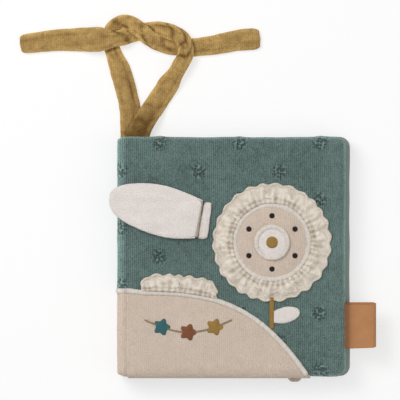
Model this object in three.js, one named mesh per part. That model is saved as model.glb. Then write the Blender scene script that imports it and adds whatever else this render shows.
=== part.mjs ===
// A crinkle cloth book for a baby: two padded covers and one padded page on a cloth spine,
// tied to a cot or pram by two sewn straps that lie in a loose half knot.
// Millimetres, +Z up. The book lies shut on its back cover, with the spine towards -X.

import * as THREE from "three";
import { mergeVertices } from "three/addons/utils/BufferGeometryUtils.js";

// Sizes of the whole book.
const bookWidth = 130;
const bookHeight = 134;
const spineDepth = 5;
const frontSetback = 2.5;
const backCoverThickness = 7;
const pageThickness = 6;
const frontCoverThickness = 7.4;
const touchGap = 0.3;

// Sizes of a padded panel: its cloths, its filling and how its edge rolls in.
const clothThickness = 0.8;
const filmThickness = 0.4;
const fillingInset = 4;
const foreCornerRadius = 6;
const spineCornerRadius = 1.6;
const sideDrawnIn = 0.5;
const edgeRollWidth = 6;

// Sizes of the cloth spine and the tape that holds the page in it.
const spineClothThickness = 1;
const spineCornerRound = 3.2;
const spineEndInset = 0.8;
const spineLipGap = 1.2;
const pageTapeThickness = 1;
const pageTapeInset = 4;

// Sizes of the leather loop and of the page's tab.
const labelReach = 16.4;
const labelWidth = 24.6;
const labelFromBottom = 28.3;
const labelLeather = 1;
const labelInnerGap = 0.8;
const tabWidth = 7.8;
const tabReach = 2.8;
const tabThickness = 1.6;
const tabMiddleX = 34;
const tabRound = 2.2;

// Sizes of the pieces sewn on the front cover.
const patchThickness = 1;
const cordWidth = 2.8;
const cordHeight = 1.1;
const bloomFromEdge = 44;
const bloomY = 8;
const bloomRadius = 22;
const middleRadius = 10;
const middleSeedRadius = 3.4;
const seedRadius = 1.6;
const seedRingRadius = 14.8;
const seedCount = 6;
const threadHeight = 0.7;
const hillTopY = -19;
const hillShoulderY = -22;
const hillShoulderFromBloom = 11;
const hillPastBloom = 17;
const patchEdgeInset = 6;

// Sizes of the gathered cloth frills.
const frillHeight = 3;
const frillScallop = 1.3;
const frillThickness = 1;
const frillRows = 4;
const stepsPerScallop = 6;
const frillDipShare = 0.4;
const bloomFrillWidth = 10.5;
const bloomScallops = 26;
const bloomFrillSeam = THREE.MathUtils.degToRad(-90);
const hillFrillWidth = 9;
const hillScallops = 7;
const hillFrillShares = [0.02, 0.44];

// Sizes of the leaves. Their width is given as shares of the length and of the widest place.
const flapFromFrill = 5.65;
const flapY = 20.9;
const flapRise = 10.6;
const flapOverhang = 4.75;
const flapHalfWidth = 14.3;
const flapHalfThickness = 1.2;
const flapRootShare = 0.45;
const flapSoftShare = 0.8;
const leafLengthShares = [0, 0.15, 0.37, 0.57, 0.81, 0.93, 0.98, 1];
const leafWidthShares = [0.74, 0.87, 1, 0.97, 0.76, 0.52, 0.3, 0];
const leafMiddleShare = 0.45;
const leafSteps = 14;
const rootStripWidth = 5;
const rootStripHalfLength = 10.2;
const rootStripY = 20.1;
const rootStripThickness = 1.2;
const sewnLeafLength = 14;
const sewnLeafHalfWidth = 4.6;
const sewnLeafRise = 2.4;
const sewnLeafY = -33.5;

// Sizes of the garland, whose thread hangs in a shallow curve.
const garlandThread = 0.9;
const garlandFromX = -50;
const garlandToX = -1;
const garlandY = -35;
const garlandDrop = 7;
const garlandMotifRadius = 4.2;
const garlandLobe = 0.8;
const garlandLobes = 5;
const garlandThreadShares = [0, 0.14, 0.3, 0.5, 0.7, 0.86, 1];
const flowerShares = [0.2, 0.5, 0.8];

// Sizes of the straps. The knot is given as shares of each strap's length.
const strapWidth = 12;
const strapThickness = 2.2;
const strapKnotWidth = 8;
const underKnotShares = [0.34, 0.66];
const overKnotShares = [0.3, 0.66];
const knotEaseShare = 0.07;

// How finely the curved forms are drawn.
const mergeDistance = 1e-4;
const tubeSides = 8;
const strapSteps = 44;
const hillSteps = 24;
const thinTubeSteps = 24;
const stemSteps = 4;
const bloomSteps = 36;
const smallOvalSteps = 14;
const flowerSteps = 30;
const routeDivisions = 400;

// Levels and edges worked out from the sizes above.
const pageBase = backCoverThickness + touchGap;
const frontBase = pageBase + pageThickness + touchGap;
const bookThickness = frontBase + frontCoverThickness;
const pageLeft = spineDepth - bookWidth / 2;
const bookRight = bookWidth / 2;
const frontRight = bookRight - frontSetback;
const halfHeight = bookHeight / 2;
const labelMiddleY = labelFromBottom - halfHeight;
const patchBase = bookThickness + touchGap;
const patchTop = patchBase + patchThickness;
const cordBase = patchTop + touchGap;
const middleTop = cordBase + patchThickness;
const labelTip = frontRight + touchGap + labelReach;
const flapTipX = -bookWidth / 2 - flapOverhang;
const bloomX = bookRight - bloomFromEdge;
const flapHingeX = bloomX - bloomRadius - bloomFrillWidth - flapFromFrill;

function material(colour, roughness) {
  return new THREE.MeshStandardMaterial({ color: colour, roughness, metalness: 0 });
}

const velourTeal = 0x58736f;
const velourBeige = 0xcdbcac;
const velourWhite = 0xe1d8d3;
const frillCream = 0xded2c3;
const liningSage = 0x97aaa4;
const strapOchre = 0xaa8954;
const leatherTan = 0xb27e52;
const threadDark = 0x2a2020;
const threadTan = 0xa5823c;
const threadTeal = 0x3c6e73;
const threadRust = 0x8c5537;
const paddingWhite = 0xf2f0ea;
const filmClear = 0xd9dde0;

// One closed body from a three.js geometry: its shared points are merged and its empty faces dropped.
function closed(geometry) {
  const bare = new THREE.BufferGeometry();
  bare.setAttribute("position", geometry.getAttribute("position").clone());
  if (geometry.index) bare.setIndex(geometry.index.clone());
  const merged = mergeVertices(bare, mergeDistance);
  const faces = [];
  for (let i = 0; i < merged.index.count; i += 3) {
    const [a, b, c] = [0, 1, 2].map((k) => merged.index.getX(i + k));
    if (a !== b && b !== c && c !== a) faces.push(a, b, c);
  }
  merged.setIndex(faces);
  return merged.toNonIndexed();
}

// A geometry whose every point is put somewhere else by a function of its old place.
function moved(geometry, place) {
  const points = geometry.getAttribute("position");
  for (let i = 0; i < points.count; i += 1) {
    const to = place(points.getX(i), points.getY(i), points.getZ(i));
    points.setXYZ(i, to.x, to.y, to.z);
  }
  return geometry;
}

// A closed form over an outline: each profile point is a share of the outline and a height.
function overOutline(outline, profile) {
  const turns = outline.length;
  const lathe = new THREE.LatheGeometry(
    profile.map(([share, height]) => new THREE.Vector2(share, height)),
    turns,
  );
  const middle = outline.middle;
  const form = moved(closed(lathe), (x, height, z) => {
    const share = Math.hypot(x, z);
    const step = Math.round((Math.atan2(x, z) / (2 * Math.PI)) * turns + turns) % turns;
    const edge = outline[step];
    return {
      x: middle.x + share * (edge.x - middle.x),
      y: middle.y + share * (edge.y - middle.y),
      z: height,
    };
  });
  return outwards(form);
}

// Turns a closed form's faces outwards where they point in.
function outwards(geometry) {
  const p = geometry.getAttribute("position");
  const corner = (i) => new THREE.Vector3().fromBufferAttribute(p, i);
  let volume = 0;
  for (let i = 0; i < p.count; i += 3) {
    volume += corner(i).dot(corner(i + 1).cross(corner(i + 2)));
  }
  if (volume > 0) return geometry;
  for (let i = 0; i < p.count; i += 3) {
    const [a, b] = [corner(i), corner(i + 1)];
    p.setXYZ(i, b.x, b.y, b.z);
    p.setXYZ(i + 1, a.x, a.y, a.z);
  }
  return geometry;
}

// The outline of a panel, anticlockwise from its right side, with small corners at the spine.
function panelOutline(left, right) {
  const sidePoints = 3;
  const cornerPoints = 4;
  const points = [];
  const corners = [
    [right, halfHeight, foreCornerRadius, 0],
    [left, halfHeight, spineCornerRadius, 1],
    [left, -halfHeight, spineCornerRadius, 2],
    [right, -halfHeight, foreCornerRadius, 3],
  ];
  const arc = ([x, y, radius, quarter], k) => {
    const angle = ((quarter + k / cornerPoints) * Math.PI) / 2;
    const inX = x - Math.sign(x - (left + right) / 2) * radius;
    const inY = y - Math.sign(y) * radius;
    return new THREE.Vector2(inX + radius * Math.cos(angle), inY + radius * Math.sin(angle));
  };
  corners.forEach((corner, c) => {
    for (let k = 0; k <= cornerPoints; k += 1) points.push(arc(corner, k));
    const from = arc(corner, cornerPoints);
    const to = arc(corners[(c + 1) % corners.length], 0);
    for (let k = 1; k <= sidePoints; k += 1) {
      const t = k / (sidePoints + 1);
      const bow = sideDrawnIn * Math.sin(Math.PI * t);
      const side = from.clone().lerp(to, t);
      if (c % 2) side.x += c === 1 ? bow : -bow;
      else side.y += c === 0 ? -bow : bow;
      points.push(side);
    }
  });
  points.middle = new THREE.Vector2((left + right) / 2, 0);
  return points;
}

function ovalOutline(x, y, halfWidth, halfHigh, steps, lobe = 0, lobes = 0) {
  const points = [];
  for (let k = 0; k < steps; k += 1) {
    const angle = (k / steps) * 2 * Math.PI;
    const grow = 1 + (lobe / halfWidth) * Math.cos(lobes * angle);
    points.push(
      new THREE.Vector2(
        x + halfWidth * grow * Math.cos(angle),
        y + halfHigh * grow * Math.sin(angle),
      ),
    );
  }
  points.middle = new THREE.Vector2(x, y);
  return points;
}

const parts = new THREE.Group();

function add(name, geometry, colour, roughness = 0.9) {
  const mesh = new THREE.Mesh(geometry, material(colour, roughness));
  mesh.name = name;
  parts.add(mesh);
}

// Rolled edge of a panel: how far in each ring lies, as shares of the roll, and how high it stands.
const rollInsetShares = [0.09, 0.27, 0.58, 1];
const rollHeightShares = [0.45, 0.75, 0.93, 1];

// One padded panel: an upper and a lower cloth that meet in the edge seam, crinkle film and wadding.
function addPanel(names, colours, left, right, base, thickness) {
  const outline = panelOutline(left, right);
  const reach = (right - left) / 2;
  const half = thickness / 2;
  const seam = base + half;
  const seamHalfGap = touchGap / 2;
  const cloth = (side) => {
    const outer = rollInsetShares.map((share, k) => [
      1 - (share * edgeRollWidth) / reach,
      seam + side * half * rollHeightShares[k],
    ]);
    const inner = rollInsetShares.map((share, k) => [
      1 - (share * edgeRollWidth + clothThickness) / reach,
      seam + side * Math.max(half * rollHeightShares[k] - clothThickness, seamHalfGap * 2),
    ]);
    return overOutline(outline, [
      [0, seam + side * half],
      ...outer.reverse(),
      [1, seam + side * seamHalfGap],
      [1 - clothThickness / reach, seam + side * seamHalfGap],
      ...inner,
      [0, seam + side * (half - clothThickness)],
    ]);
  };
  const fillShare = 1 - fillingInset / reach;
  const tuckedShare = 1 - (2 * fillingInset) / reach;
  const filmTop = base + thickness - clothThickness - touchGap;
  const waddingTop = filmTop - filmThickness - touchGap;
  const waddingBase = base + clothThickness + touchGap;
  add(names.upper, cloth(1), colours.upper);
  add(names.lower, cloth(-1), colours.lower);
  add(
    names.film,
    overOutline(outline, [
      [0, filmTop],
      [tuckedShare, filmTop],
      [tuckedShare, filmTop - filmThickness],
      [0, filmTop - filmThickness],
    ]),
    filmClear,
    0.3,
  );
  add(
    names.wadding,
    overOutline(outline, [
      [0, waddingTop],
      [tuckedShare, waddingTop],
      [fillShare, seam],
      [tuckedShare, waddingBase],
      [0, waddingBase],
    ]),
    paddingWhite,
  );
}

addPanel(
  {
    upper: "back_cover_lining",
    lower: "back_cover_velour",
    film: "back_cover_crinkle_film",
    wadding: "back_cover_wadding",
  },
  { upper: liningSage, lower: velourTeal },
  pageLeft,
  bookRight,
  0,
  backCoverThickness,
);

addPanel(
  {
    upper: "page_front_cloth",
    lower: "page_back_cloth",
    film: "page_crinkle_film",
    wadding: "page_wadding",
  },
  { upper: liningSage, lower: liningSage },
  pageLeft,
  bookRight,
  pageBase,
  pageThickness,
);

addPanel(
  {
    upper: "front_cover_velour",
    lower: "front_cover_lining",
    film: "front_cover_crinkle_film",
    wadding: "front_cover_wadding",
  },
  { upper: velourTeal, lower: liningSage },
  pageLeft,
  frontRight,
  frontBase,
  frontCoverThickness,
);

// A section drawn in X and Z, drawn out along Y from one place to another.
function drawnAlongY(shape, fromY, toY) {
  const solid = new THREE.ExtrudeGeometry(shape, {
    depth: toY - fromY,
    bevelEnabled: false,
    curveSegments: 4,
  });
  return outwards(closed(moved(solid, (x, z, y) => ({ x, y: fromY + y, z }))));
}

// The spine is one strip of velour that turns round the backs of the panels, like a C.
function addSpine() {
  const outer = -bookWidth / 2;
  const inner = outer + spineClothThickness;
  const lip = pageLeft - spineLipGap;
  const top = bookThickness;
  const innerRound = spineCornerRound - spineClothThickness;
  const section = new THREE.Shape();
  section.moveTo(lip, 0);
  section.lineTo(lip, spineClothThickness);
  section.lineTo(inner + innerRound, spineClothThickness);
  section.quadraticCurveTo(inner, spineClothThickness, inner, spineCornerRound);
  section.lineTo(inner, top - spineCornerRound);
  section.quadraticCurveTo(
    inner,
    top - spineClothThickness,
    inner + innerRound,
    top - spineClothThickness,
  );
  section.lineTo(lip, top - spineClothThickness);
  section.lineTo(lip, top);
  section.lineTo(outer + spineCornerRound, top);
  section.quadraticCurveTo(outer, top, outer, top - spineCornerRound);
  section.lineTo(outer, spineCornerRound);
  section.quadraticCurveTo(outer, 0, outer + spineCornerRound, 0);
  section.closePath();
  const end = halfHeight - spineEndInset;
  add("spine_cloth", drawnAlongY(section, -end, end), velourTeal);

  const middle = pageBase + pageThickness / 2;
  const tape = new THREE.Shape();
  tape.moveTo(inner + touchGap, middle - pageTapeThickness / 2);
  tape.lineTo(pageLeft - touchGap, middle - pageTapeThickness / 2);
  tape.lineTo(pageLeft - touchGap, middle + pageTapeThickness / 2);
  tape.lineTo(inner + touchGap, middle + pageTapeThickness / 2);
  tape.closePath();
  const tapeEnd = halfHeight - pageTapeInset;
  add("page_root_tape", drawnAlongY(tape, -tapeEnd, tapeEnd), liningSage);
}
addSpine();

// A leather strip folded back on itself and sewn into the front cover's fore edge, and the page's tab.
function addTags() {
  const seam = frontBase + frontCoverThickness / 2;
  const half = labelInnerGap / 2 + labelLeather;
  const root = frontRight + touchGap;
  const bend = labelTip - half;
  const loop = new THREE.Shape();
  loop.moveTo(root, seam - half);
  loop.lineTo(bend, seam - half);
  loop.absarc(bend, seam, half, -Math.PI / 2, Math.PI / 2, false);
  loop.lineTo(root, seam + half);
  loop.lineTo(root, seam + labelInnerGap / 2);
  loop.lineTo(bend, seam + labelInnerGap / 2);
  loop.absarc(bend, seam, labelInnerGap / 2, Math.PI / 2, -Math.PI / 2, true);
  loop.lineTo(root, seam - labelInnerGap / 2);
  loop.closePath();
  const ends = [labelMiddleY - labelWidth / 2, labelMiddleY + labelWidth / 2];
  add("label_loop", drawnAlongY(loop, ...ends), leatherTan, 0.6);

  const edge = -halfHeight - touchGap;
  const tip = edge - tabReach;
  const left = tabMiddleX - tabWidth / 2;
  const right = tabMiddleX + tabWidth / 2;
  const tab = new THREE.Shape();
  tab.moveTo(left, edge);
  tab.lineTo(left, tip + tabRound);
  tab.quadraticCurveTo(left, tip, left + tabRound, tip);
  tab.lineTo(right - tabRound, tip);
  tab.quadraticCurveTo(right, tip, right, tip + tabRound);
  tab.lineTo(right, edge);
  tab.closePath();
  const solid = new THREE.ExtrudeGeometry(tab, { depth: tabThickness, bevelEnabled: false });
  const base = pageBase + (pageThickness - tabThickness) / 2;
  add("page_tab", outwards(closed(moved(solid, (x, y, z) => ({ x, y, z: base + z })))), velourBeige);
}
addTags();

// A flat sewn-on patch over an outline, with its upper edge turned down.
function patch(outline, base, thickness, reach) {
  const softShare = 1 - thickness / reach;
  return overOutline(outline, [
    [0, base + thickness],
    [softShare, base + thickness],
    [1, base + thickness / 2],
    [1, base],
    [0, base],
  ]);
}

// A low dome of thread over an outline, given as shares of its reach and of its height.
const stitchReachShares = [0, 0.6, 1, 1, 0];
const stitchHeightShares = [1, 0.85, 0.3, 0, 0];
function stitched(outline, base, height) {
  return overOutline(
    outline,
    stitchReachShares.map((share, k) => [share, base + height * stitchHeightShares[k]]),
  );
}

// A corded edge that runs round inside an outline.
function cordRing(outline, base, reach) {
  const inShare = 1 - cordWidth / reach;
  const midShare = 1 - cordWidth / 2 / reach;
  return overOutline(outline, [
    [1, base],
    [1, base + cordHeight / 2],
    [midShare, base + cordHeight],
    [inShare, base + cordHeight / 2],
    [inShare, base],
    [1, base],
  ]);
}

// A flat round-edged tube along a route. widthAt and heightAt give its size along it.
const tubeFlatness = 0.7;
function tube(route, steps, widthAt, heightAt) {
  const section = new THREE.Shape();
  const squared = (value) => (Math.sign(value) * Math.abs(value) ** tubeFlatness) / 2;
  for (let k = 0; k < tubeSides; k += 1) {
    const angle = ((2 * k + 1) / tubeSides) * Math.PI;
    const flat = squared(Math.cos(angle));
    const high = squared(Math.sin(angle));
    if (k) section.lineTo(flat, high);
    else section.moveTo(flat, high);
  }
  section.closePath();
  const straight = new THREE.ExtrudeGeometry(section, { depth: 1, steps, bevelEnabled: false });
  const curve = new THREE.CatmullRomCurve3(route, false, "centripetal");
  curve.arcLengthDivisions = routeDivisions;
  const up = new THREE.Vector3(0, 0, 1);
  return outwards(
    closed(
      moved(straight, (x, y, along) => {
        const t = Math.min(Math.max(along, 0), 1);
        const tangent = curve.getTangentAt(t);
        const side = new THREE.Vector3().crossVectors(tangent, up).normalize();
        const lift = new THREE.Vector3().crossVectors(side, tangent).normalize();
        return curve
          .getPointAt(t)
          .addScaledVector(side, x * widthAt(t))
          .addScaledVector(lift, y * heightAt(t));
      }),
    ),
  );
}

// The hill: a beige patch from the spine to the bottom edge, with a corded edge along its top.
const hillLeft = pageLeft + patchEdgeInset;
const hillRight = bloomX + hillPastBloom;
const hillBottom = -halfHeight + patchEdgeInset;
const hillEdge = new THREE.CubicBezierCurve(
  new THREE.Vector2(hillLeft, hillTopY),
  new THREE.Vector2((hillLeft + bloomX) / 2, hillTopY),
  new THREE.Vector2(bloomX - hillShoulderFromBloom, hillShoulderY),
  new THREE.Vector2(hillRight, hillBottom),
);

function addHill() {
  const edge = hillEdge.getPoints(hillSteps);
  const outline = [...edge, new THREE.Vector2(hillLeft, hillBottom)];
  const middleX = (hillLeft + hillRight) / 2;
  outline.middle = new THREE.Vector2(middleX, (hillTopY + hillBottom) / 2);
  add("hill_patch", patch(outline, patchBase, patchThickness, bloomRadius), velourBeige);
  const places = edge.map((p, k) => {
    const ahead = hillEdge.getTangent(k / hillSteps);
    return new THREE.Vector3(
      p.x + ahead.y * cordWidth,
      p.y - ahead.x * cordWidth,
      cordBase + cordHeight / 2,
    );
  });
  const width = () => cordWidth;
  const height = () => cordHeight;
  add("hill_corded_edge", tube(places.slice(0, -1), hillSteps, width, height), velourWhite);
}
addHill();

// The flower: a beige round patch with a white one on its middle, both with corded edges. Its seeds
// are in thread, and its stem is a cord that ends at the hill.
function addFlower() {
  const round = (x, y, radius, steps) => ovalOutline(x, y, radius, radius, steps);
  const bloom = round(bloomX, bloomY, bloomRadius, bloomSteps);
  add("bloom_patch", patch(bloom, patchBase, patchThickness, bloomRadius), velourBeige);
  add("bloom_corded_edge", cordRing(bloom, cordBase, bloomRadius), velourWhite);
  const middle = round(bloomX, bloomY, middleRadius, bloomSteps);
  add("middle_patch", patch(middle, cordBase, patchThickness, middleRadius), velourWhite);
  const middleCordBase = middleTop + touchGap;
  add("middle_corded_edge", cordRing(middle, middleCordBase, middleRadius), velourWhite);
  const centre = round(bloomX, bloomY, middleSeedRadius, smallOvalSteps);
  add("middle_seed", stitched(centre, middleCordBase, threadHeight), threadTan);
  for (let k = 0; k < seedCount; k += 1) {
    const angle = (2 * Math.PI * k) / seedCount;
    const x = bloomX + seedRingRadius * Math.sin(angle);
    const y = bloomY + seedRingRadius * Math.cos(angle);
    const seed = round(x, y, seedRadius, smallOvalSteps);
    add(`seed_${k + 1}`, stitched(seed, cordBase, threadHeight), threadDark);
  }
}
addFlower();

function addStem() {
  const edge = hillEdge.getPoints(routeDivisions);
  const stemLeft = bloomX - cordWidth / 2;
  const stemFoot = edge.find((place) => place.x >= stemLeft).y + touchGap;
  const stemHead = bloomY - bloomRadius - bloomFrillWidth - 2 * touchGap;
  const z = patchBase + cordHeight / 2;
  const route = [
    new THREE.Vector3(bloomX, stemHead, z),
    new THREE.Vector3(bloomX, stemFoot, z),
  ];
  const width = () => cordWidth;
  const height = () => cordHeight;
  add("flower_stem", tube(route, stemSteps, width, height), threadTan);
}
addStem();

// A gathered frill: a band that follows a path, with a scalloped outer edge and a puffed middle.
function frill(pathAt, width, scallops) {
  const band = new THREE.BoxGeometry(1, 1, 1, scallops * stepsPerScallop, frillRows, 1);
  return outwards(
    closed(
      moved(band, (x, y, z) => {
        const along = x + 1 / 2;
        const across = y + 1 / 2;
        const dip = (1 - Math.cos(2 * Math.PI * scallops * along)) / 2;
        const puff = Math.sin(Math.PI * Math.min(Math.max(across, 0), 1));
        const { point, out } = pathAt(along);
        const far = across * (width - frillScallop * dip);
        const rise = (frillHeight - frillThickness) * puff * (1 - frillDipShare * dip);
        const top = frillThickness + rise;
        return {
          x: point.x + out.x * far,
          y: point.y + out.y * far,
          z: patchBase + (z > 0 ? top : 0),
        };
      }),
    ),
  );
}

function addFrills() {
  const seamHalf = touchGap / bloomRadius;
  const round = (along) => {
    const turn = THREE.MathUtils.lerp(seamHalf, 2 * Math.PI - seamHalf, along);
    const out = new THREE.Vector2(Math.cos(bloomFrillSeam - turn), Math.sin(bloomFrillSeam - turn));
    const inner = bloomRadius + touchGap;
    return { point: new THREE.Vector2(bloomX + inner * out.x, bloomY + inner * out.y), out };
  };
  add("bloom_frill", frill(round, bloomFrillWidth, bloomScallops), frillCream);
  const hedge = (along) => {
    const share = THREE.MathUtils.lerp(...hillFrillShares, along);
    const ahead = hillEdge.getTangent(share);
    const out = new THREE.Vector2(-ahead.y, ahead.x);
    return { point: hillEdge.getPoint(share).addScaledVector(out, touchGap), out };
  };
  add("hill_frill", frill(hedge, hillFrillWidth, hillScallops), frillCream);
}
addFrills();

// The outline of a leaf: square at its root, full in the middle and rounded at its tip.
function leafOutline(rootX, tipX, y, halfWidth, rise) {
  const length = tipX - rootX;
  const widths = new THREE.SplineCurve(
    leafLengthShares.map((share, k) => new THREE.Vector2(share, leafWidthShares[k])),
  ).getPoints(leafSteps);
  const at = ({ x: t, y: share }, side) =>
    new THREE.Vector2(rootX + length * t, y + rise * t + side * halfWidth * share);
  const points = [
    ...widths.map((place) => at(place, 1)),
    ...widths.slice(0, -1).reverse().map((place) => at(place, -1)),
  ];
  points.middle = at({ x: leafMiddleShare, y: 0 }, 0);
  return points;
}

// The leaves: a loose one of two cloths that turns over on its sewn root, and one sewn down.
function addLeaves() {
  const strip = new THREE.BoxGeometry(rootStripWidth, 2 * rootStripHalfLength, rootStripThickness);
  const stripX = flapHingeX + touchGap / 2 + rootStripWidth / 2;
  const place = (x, y, z) => ({
    x: stripX + x,
    y: rootStripY + y,
    z: patchBase + rootStripThickness / 2 + z,
  });
  add("leaf_root_strip", closed(moved(strip, place)), velourWhite);

  const hingeZ = patchBase + rootStripThickness + touchGap + flapHalfThickness * flapRootShare;
  const flapRootX = flapHingeX - touchGap / 2;
  const flap = leafOutline(flapRootX, flapTipX, flapY, flapHalfWidth, flapRise);
  const layer = (side) =>
    overOutline(flap, [
      [0, hingeZ + side * flapHalfThickness],
      [flapSoftShare, hingeZ + side * flapHalfThickness],
      [1, hingeZ + side * flapHalfThickness * flapRootShare],
      [1, hingeZ + (side * touchGap) / 2],
      [0, hingeZ + (side * touchGap) / 2],
    ]);
  add("leaf_flap_front", layer(1), velourWhite);
  add("leaf_flap_back", layer(-1), velourBeige);

  const sewnRoot = bloomX + cordWidth / 2 + touchGap;
  const sewnTip = sewnRoot + sewnLeafLength;
  const sewn = leafOutline(sewnRoot, sewnTip, sewnLeafY, sewnLeafHalfWidth, sewnLeafRise);
  add("leaf_sewn", patch(sewn, patchBase, patchThickness, sewnLeafHalfWidth), velourWhite);
}
addLeaves();

// The garland: one thread across the hill with three small sewn flowers on it.
function addGarland() {
  const base = patchTop + touchGap;
  const threadAt = (share) => {
    const x = THREE.MathUtils.lerp(garlandFromX, garlandToX, share);
    const y = garlandY - garlandDrop * Math.sin(Math.PI * share);
    return new THREE.Vector3(x, y, base + garlandThread / 2);
  };
  const size = () => garlandThread;
  const thread = tube(garlandThreadShares.map(threadAt), thinTubeSteps, size, size);
  add("garland_thread", thread, threadTan);
  const flowers = [
    ["garland_flower_teal", threadTeal],
    ["garland_flower_rust", threadRust],
    ["garland_flower_ochre", threadTan],
  ];
  flowers.forEach(([name, colour], k) => {
    const { x, y } = threadAt(flowerShares[k]);
    const radius = garlandMotifRadius;
    const flower = ovalOutline(x, y, radius, radius, flowerSteps, garlandLobe, garlandLobes);
    add(name, stitched(flower, base + garlandThread + touchGap, threadHeight), colour);
  });
}
addGarland();

// The straps: two sewn tubes that leave the back cover's top edge one over the other, cross in a
// half knot above the book and end in two free tails. Their routes are points chosen by hand.
const strapFloorZ = 1.5;
const strapOverZ = 4.9;
const strapHighZ = 5.2;
const strapRoot = halfHeight + touchGap;
const strapUnderRoute = [
  [-58.9, strapRoot, strapFloorZ],
  [-58.9, 73, strapFloorZ],
  [-59, 83, strapFloorZ],
  [-61.4, 94, strapFloorZ],
  [-64.6, 105, strapFloorZ],
  [-67.8, 115, strapFloorZ],
  [-69.5, 123, strapFloorZ],
  [-66.5, 130, strapFloorZ],
  [-59.8, 132, strapOverZ],
  [-53.5, 127.8, strapHighZ],
  [-47, 122, strapHighZ],
  [-38, 118.3, strapFloorZ],
  [-27.5, 117, strapFloorZ],
  [-19, 117.6, strapFloorZ],
  [-8, 118.8, strapFloorZ],
  [3, 120.8, strapFloorZ],
  [13.6, 121.6, strapFloorZ],
];
const strapOverRoute = [
  [-54.6, strapRoot, strapOverZ],
  [-54.6, 73, strapOverZ],
  [-50.5, 78.5, strapOverZ],
  [-44, 86, strapFloorZ],
  [-37.6, 95, strapFloorZ],
  [-31.3, 105, strapOverZ],
  [-27, 114, strapHighZ],
  [-28.6, 121.4, strapHighZ],
  [-34.4, 125.4, strapOverZ],
  [-41.5, 127.4, strapFloorZ],
  [-48.5, 126.8, strapFloorZ],
  [-55.8, 124.8, strapFloorZ],
  [-63, 122.6, strapOverZ],
  [-70.5, 121.8, strapHighZ],
  [-78, 121.6, strapOverZ],
  [-87, 121.6, strapFloorZ],
  [-98, 121.2, strapFloorZ],
  [-109, 120.4, strapFloorZ],
  [-119.6, 119.2, strapFloorZ],
];

function addStrap(name, places, [knotFrom, knotTo]) {
  const route = places.map((place) => new THREE.Vector3(...place));
  const inKnot = (t) =>
    THREE.MathUtils.smoothstep(t, knotFrom - knotEaseShare, knotFrom) *
    (1 - THREE.MathUtils.smoothstep(t, knotTo, knotTo + knotEaseShare));
  const width = (t) => THREE.MathUtils.lerp(strapWidth, strapKnotWidth, inKnot(t));
  const height = () => strapThickness;
  add(name, tube(route, strapSteps, width, height), strapOchre);
}
addStrap("strap_under", strapUnderRoute, underKnotShares);
addStrap("strap_over", strapOverRoute, overKnotShares);

// The frame stands at the middle of the book's underside box.
parts.position.set(
  -(flapTipX + labelTip) / 2,
  (touchGap + tabReach) / 2,
  0,
);

export default parts;
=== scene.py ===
import math

import bmesh
import bpy
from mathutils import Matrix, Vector, noise


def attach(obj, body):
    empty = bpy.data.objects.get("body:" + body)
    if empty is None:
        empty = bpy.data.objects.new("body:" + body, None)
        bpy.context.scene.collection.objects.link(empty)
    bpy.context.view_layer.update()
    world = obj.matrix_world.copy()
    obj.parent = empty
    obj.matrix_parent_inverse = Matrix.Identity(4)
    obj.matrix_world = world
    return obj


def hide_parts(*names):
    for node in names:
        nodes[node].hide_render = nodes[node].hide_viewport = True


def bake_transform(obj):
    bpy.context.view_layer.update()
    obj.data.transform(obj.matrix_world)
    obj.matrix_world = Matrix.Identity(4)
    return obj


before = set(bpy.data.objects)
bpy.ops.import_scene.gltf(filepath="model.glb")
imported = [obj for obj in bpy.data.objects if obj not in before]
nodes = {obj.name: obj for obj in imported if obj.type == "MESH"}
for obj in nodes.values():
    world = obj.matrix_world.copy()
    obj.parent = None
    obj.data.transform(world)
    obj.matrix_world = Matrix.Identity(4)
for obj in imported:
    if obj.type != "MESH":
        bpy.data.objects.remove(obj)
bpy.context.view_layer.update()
scene = bpy.context.scene
scene.view_settings.view_transform = "Standard"

# The camera looks straight down on the book from far above, so that its picture is almost flat.
PICTURE_WIDTH = 0.2232
PICTURE_CENTRE = (-0.0237, 0.0331)
FOCUS_HEIGHT = 0.015
CAMERA_RISE = 2.0
SENSOR = 36.0
lens = bpy.data.cameras.new("camera")
lens.sensor_width = SENSOR
lens.lens = SENSOR * CAMERA_RISE / PICTURE_WIDTH
lens.clip_end = 10.0
camera = bpy.data.objects.new("camera", lens)
camera.location = (*PICTURE_CENTRE, FOCUS_HEIGHT + CAMERA_RISE)
scene.collection.objects.link(camera)
scene.camera = camera


# Straps: two sewn velour tubes that leave the spine's top edge one over the other and lie in a
# half knot above the book. Their routes follow the solids', eased in place at the roots and ends.
def linear(red, green, blue):
    """A colour from its screen values of 0 to 255."""
    def one(value):
        share = value / 255
        return share / 12.92 if share <= 0.04045 else ((share + 0.055) / 1.055) ** 2.4
    return (one(red), one(green), one(blue), 1.0)


def node(tree, kind, values=None, **settings):
    """A node of that kind with its settings, and its sockets set or linked."""
    made = tree.nodes.new("ShaderNode" + kind)
    for key, value in settings.items():
        setattr(made, key, value)
    for key, value in (values or {}).items():
        if isinstance(value, bpy.types.NodeSocket):
            tree.links.new(value, made.inputs[key])
        else:
            made.inputs[key].default_value = value
    return made


def maths(tree, operation, *values):
    return node(tree, "Math", dict(enumerate(values)), operation=operation).outputs[0]


def vector_maths(tree, operation, *values):
    made = node(tree, "VectorMath", dict(enumerate(values)), operation=operation)
    return made.outputs["Value" if operation == "LENGTH" else 0]


def clouds(tree, place, scale, detail=2.0):
    """A noise texture's value, which lies around 0.5."""
    values = {"Vector": place, "Scale": scale, "Detail": detail}
    return node(tree, "TexNoise", values).outputs[0]


def weighted(tree, start, *parts):
    """A sum that begins with the start, and adds each part times its share."""
    for value, share in parts:
        start = maths(tree, "ADD", start, maths(tree, "MULTIPLY", value, share))
    return start


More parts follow.
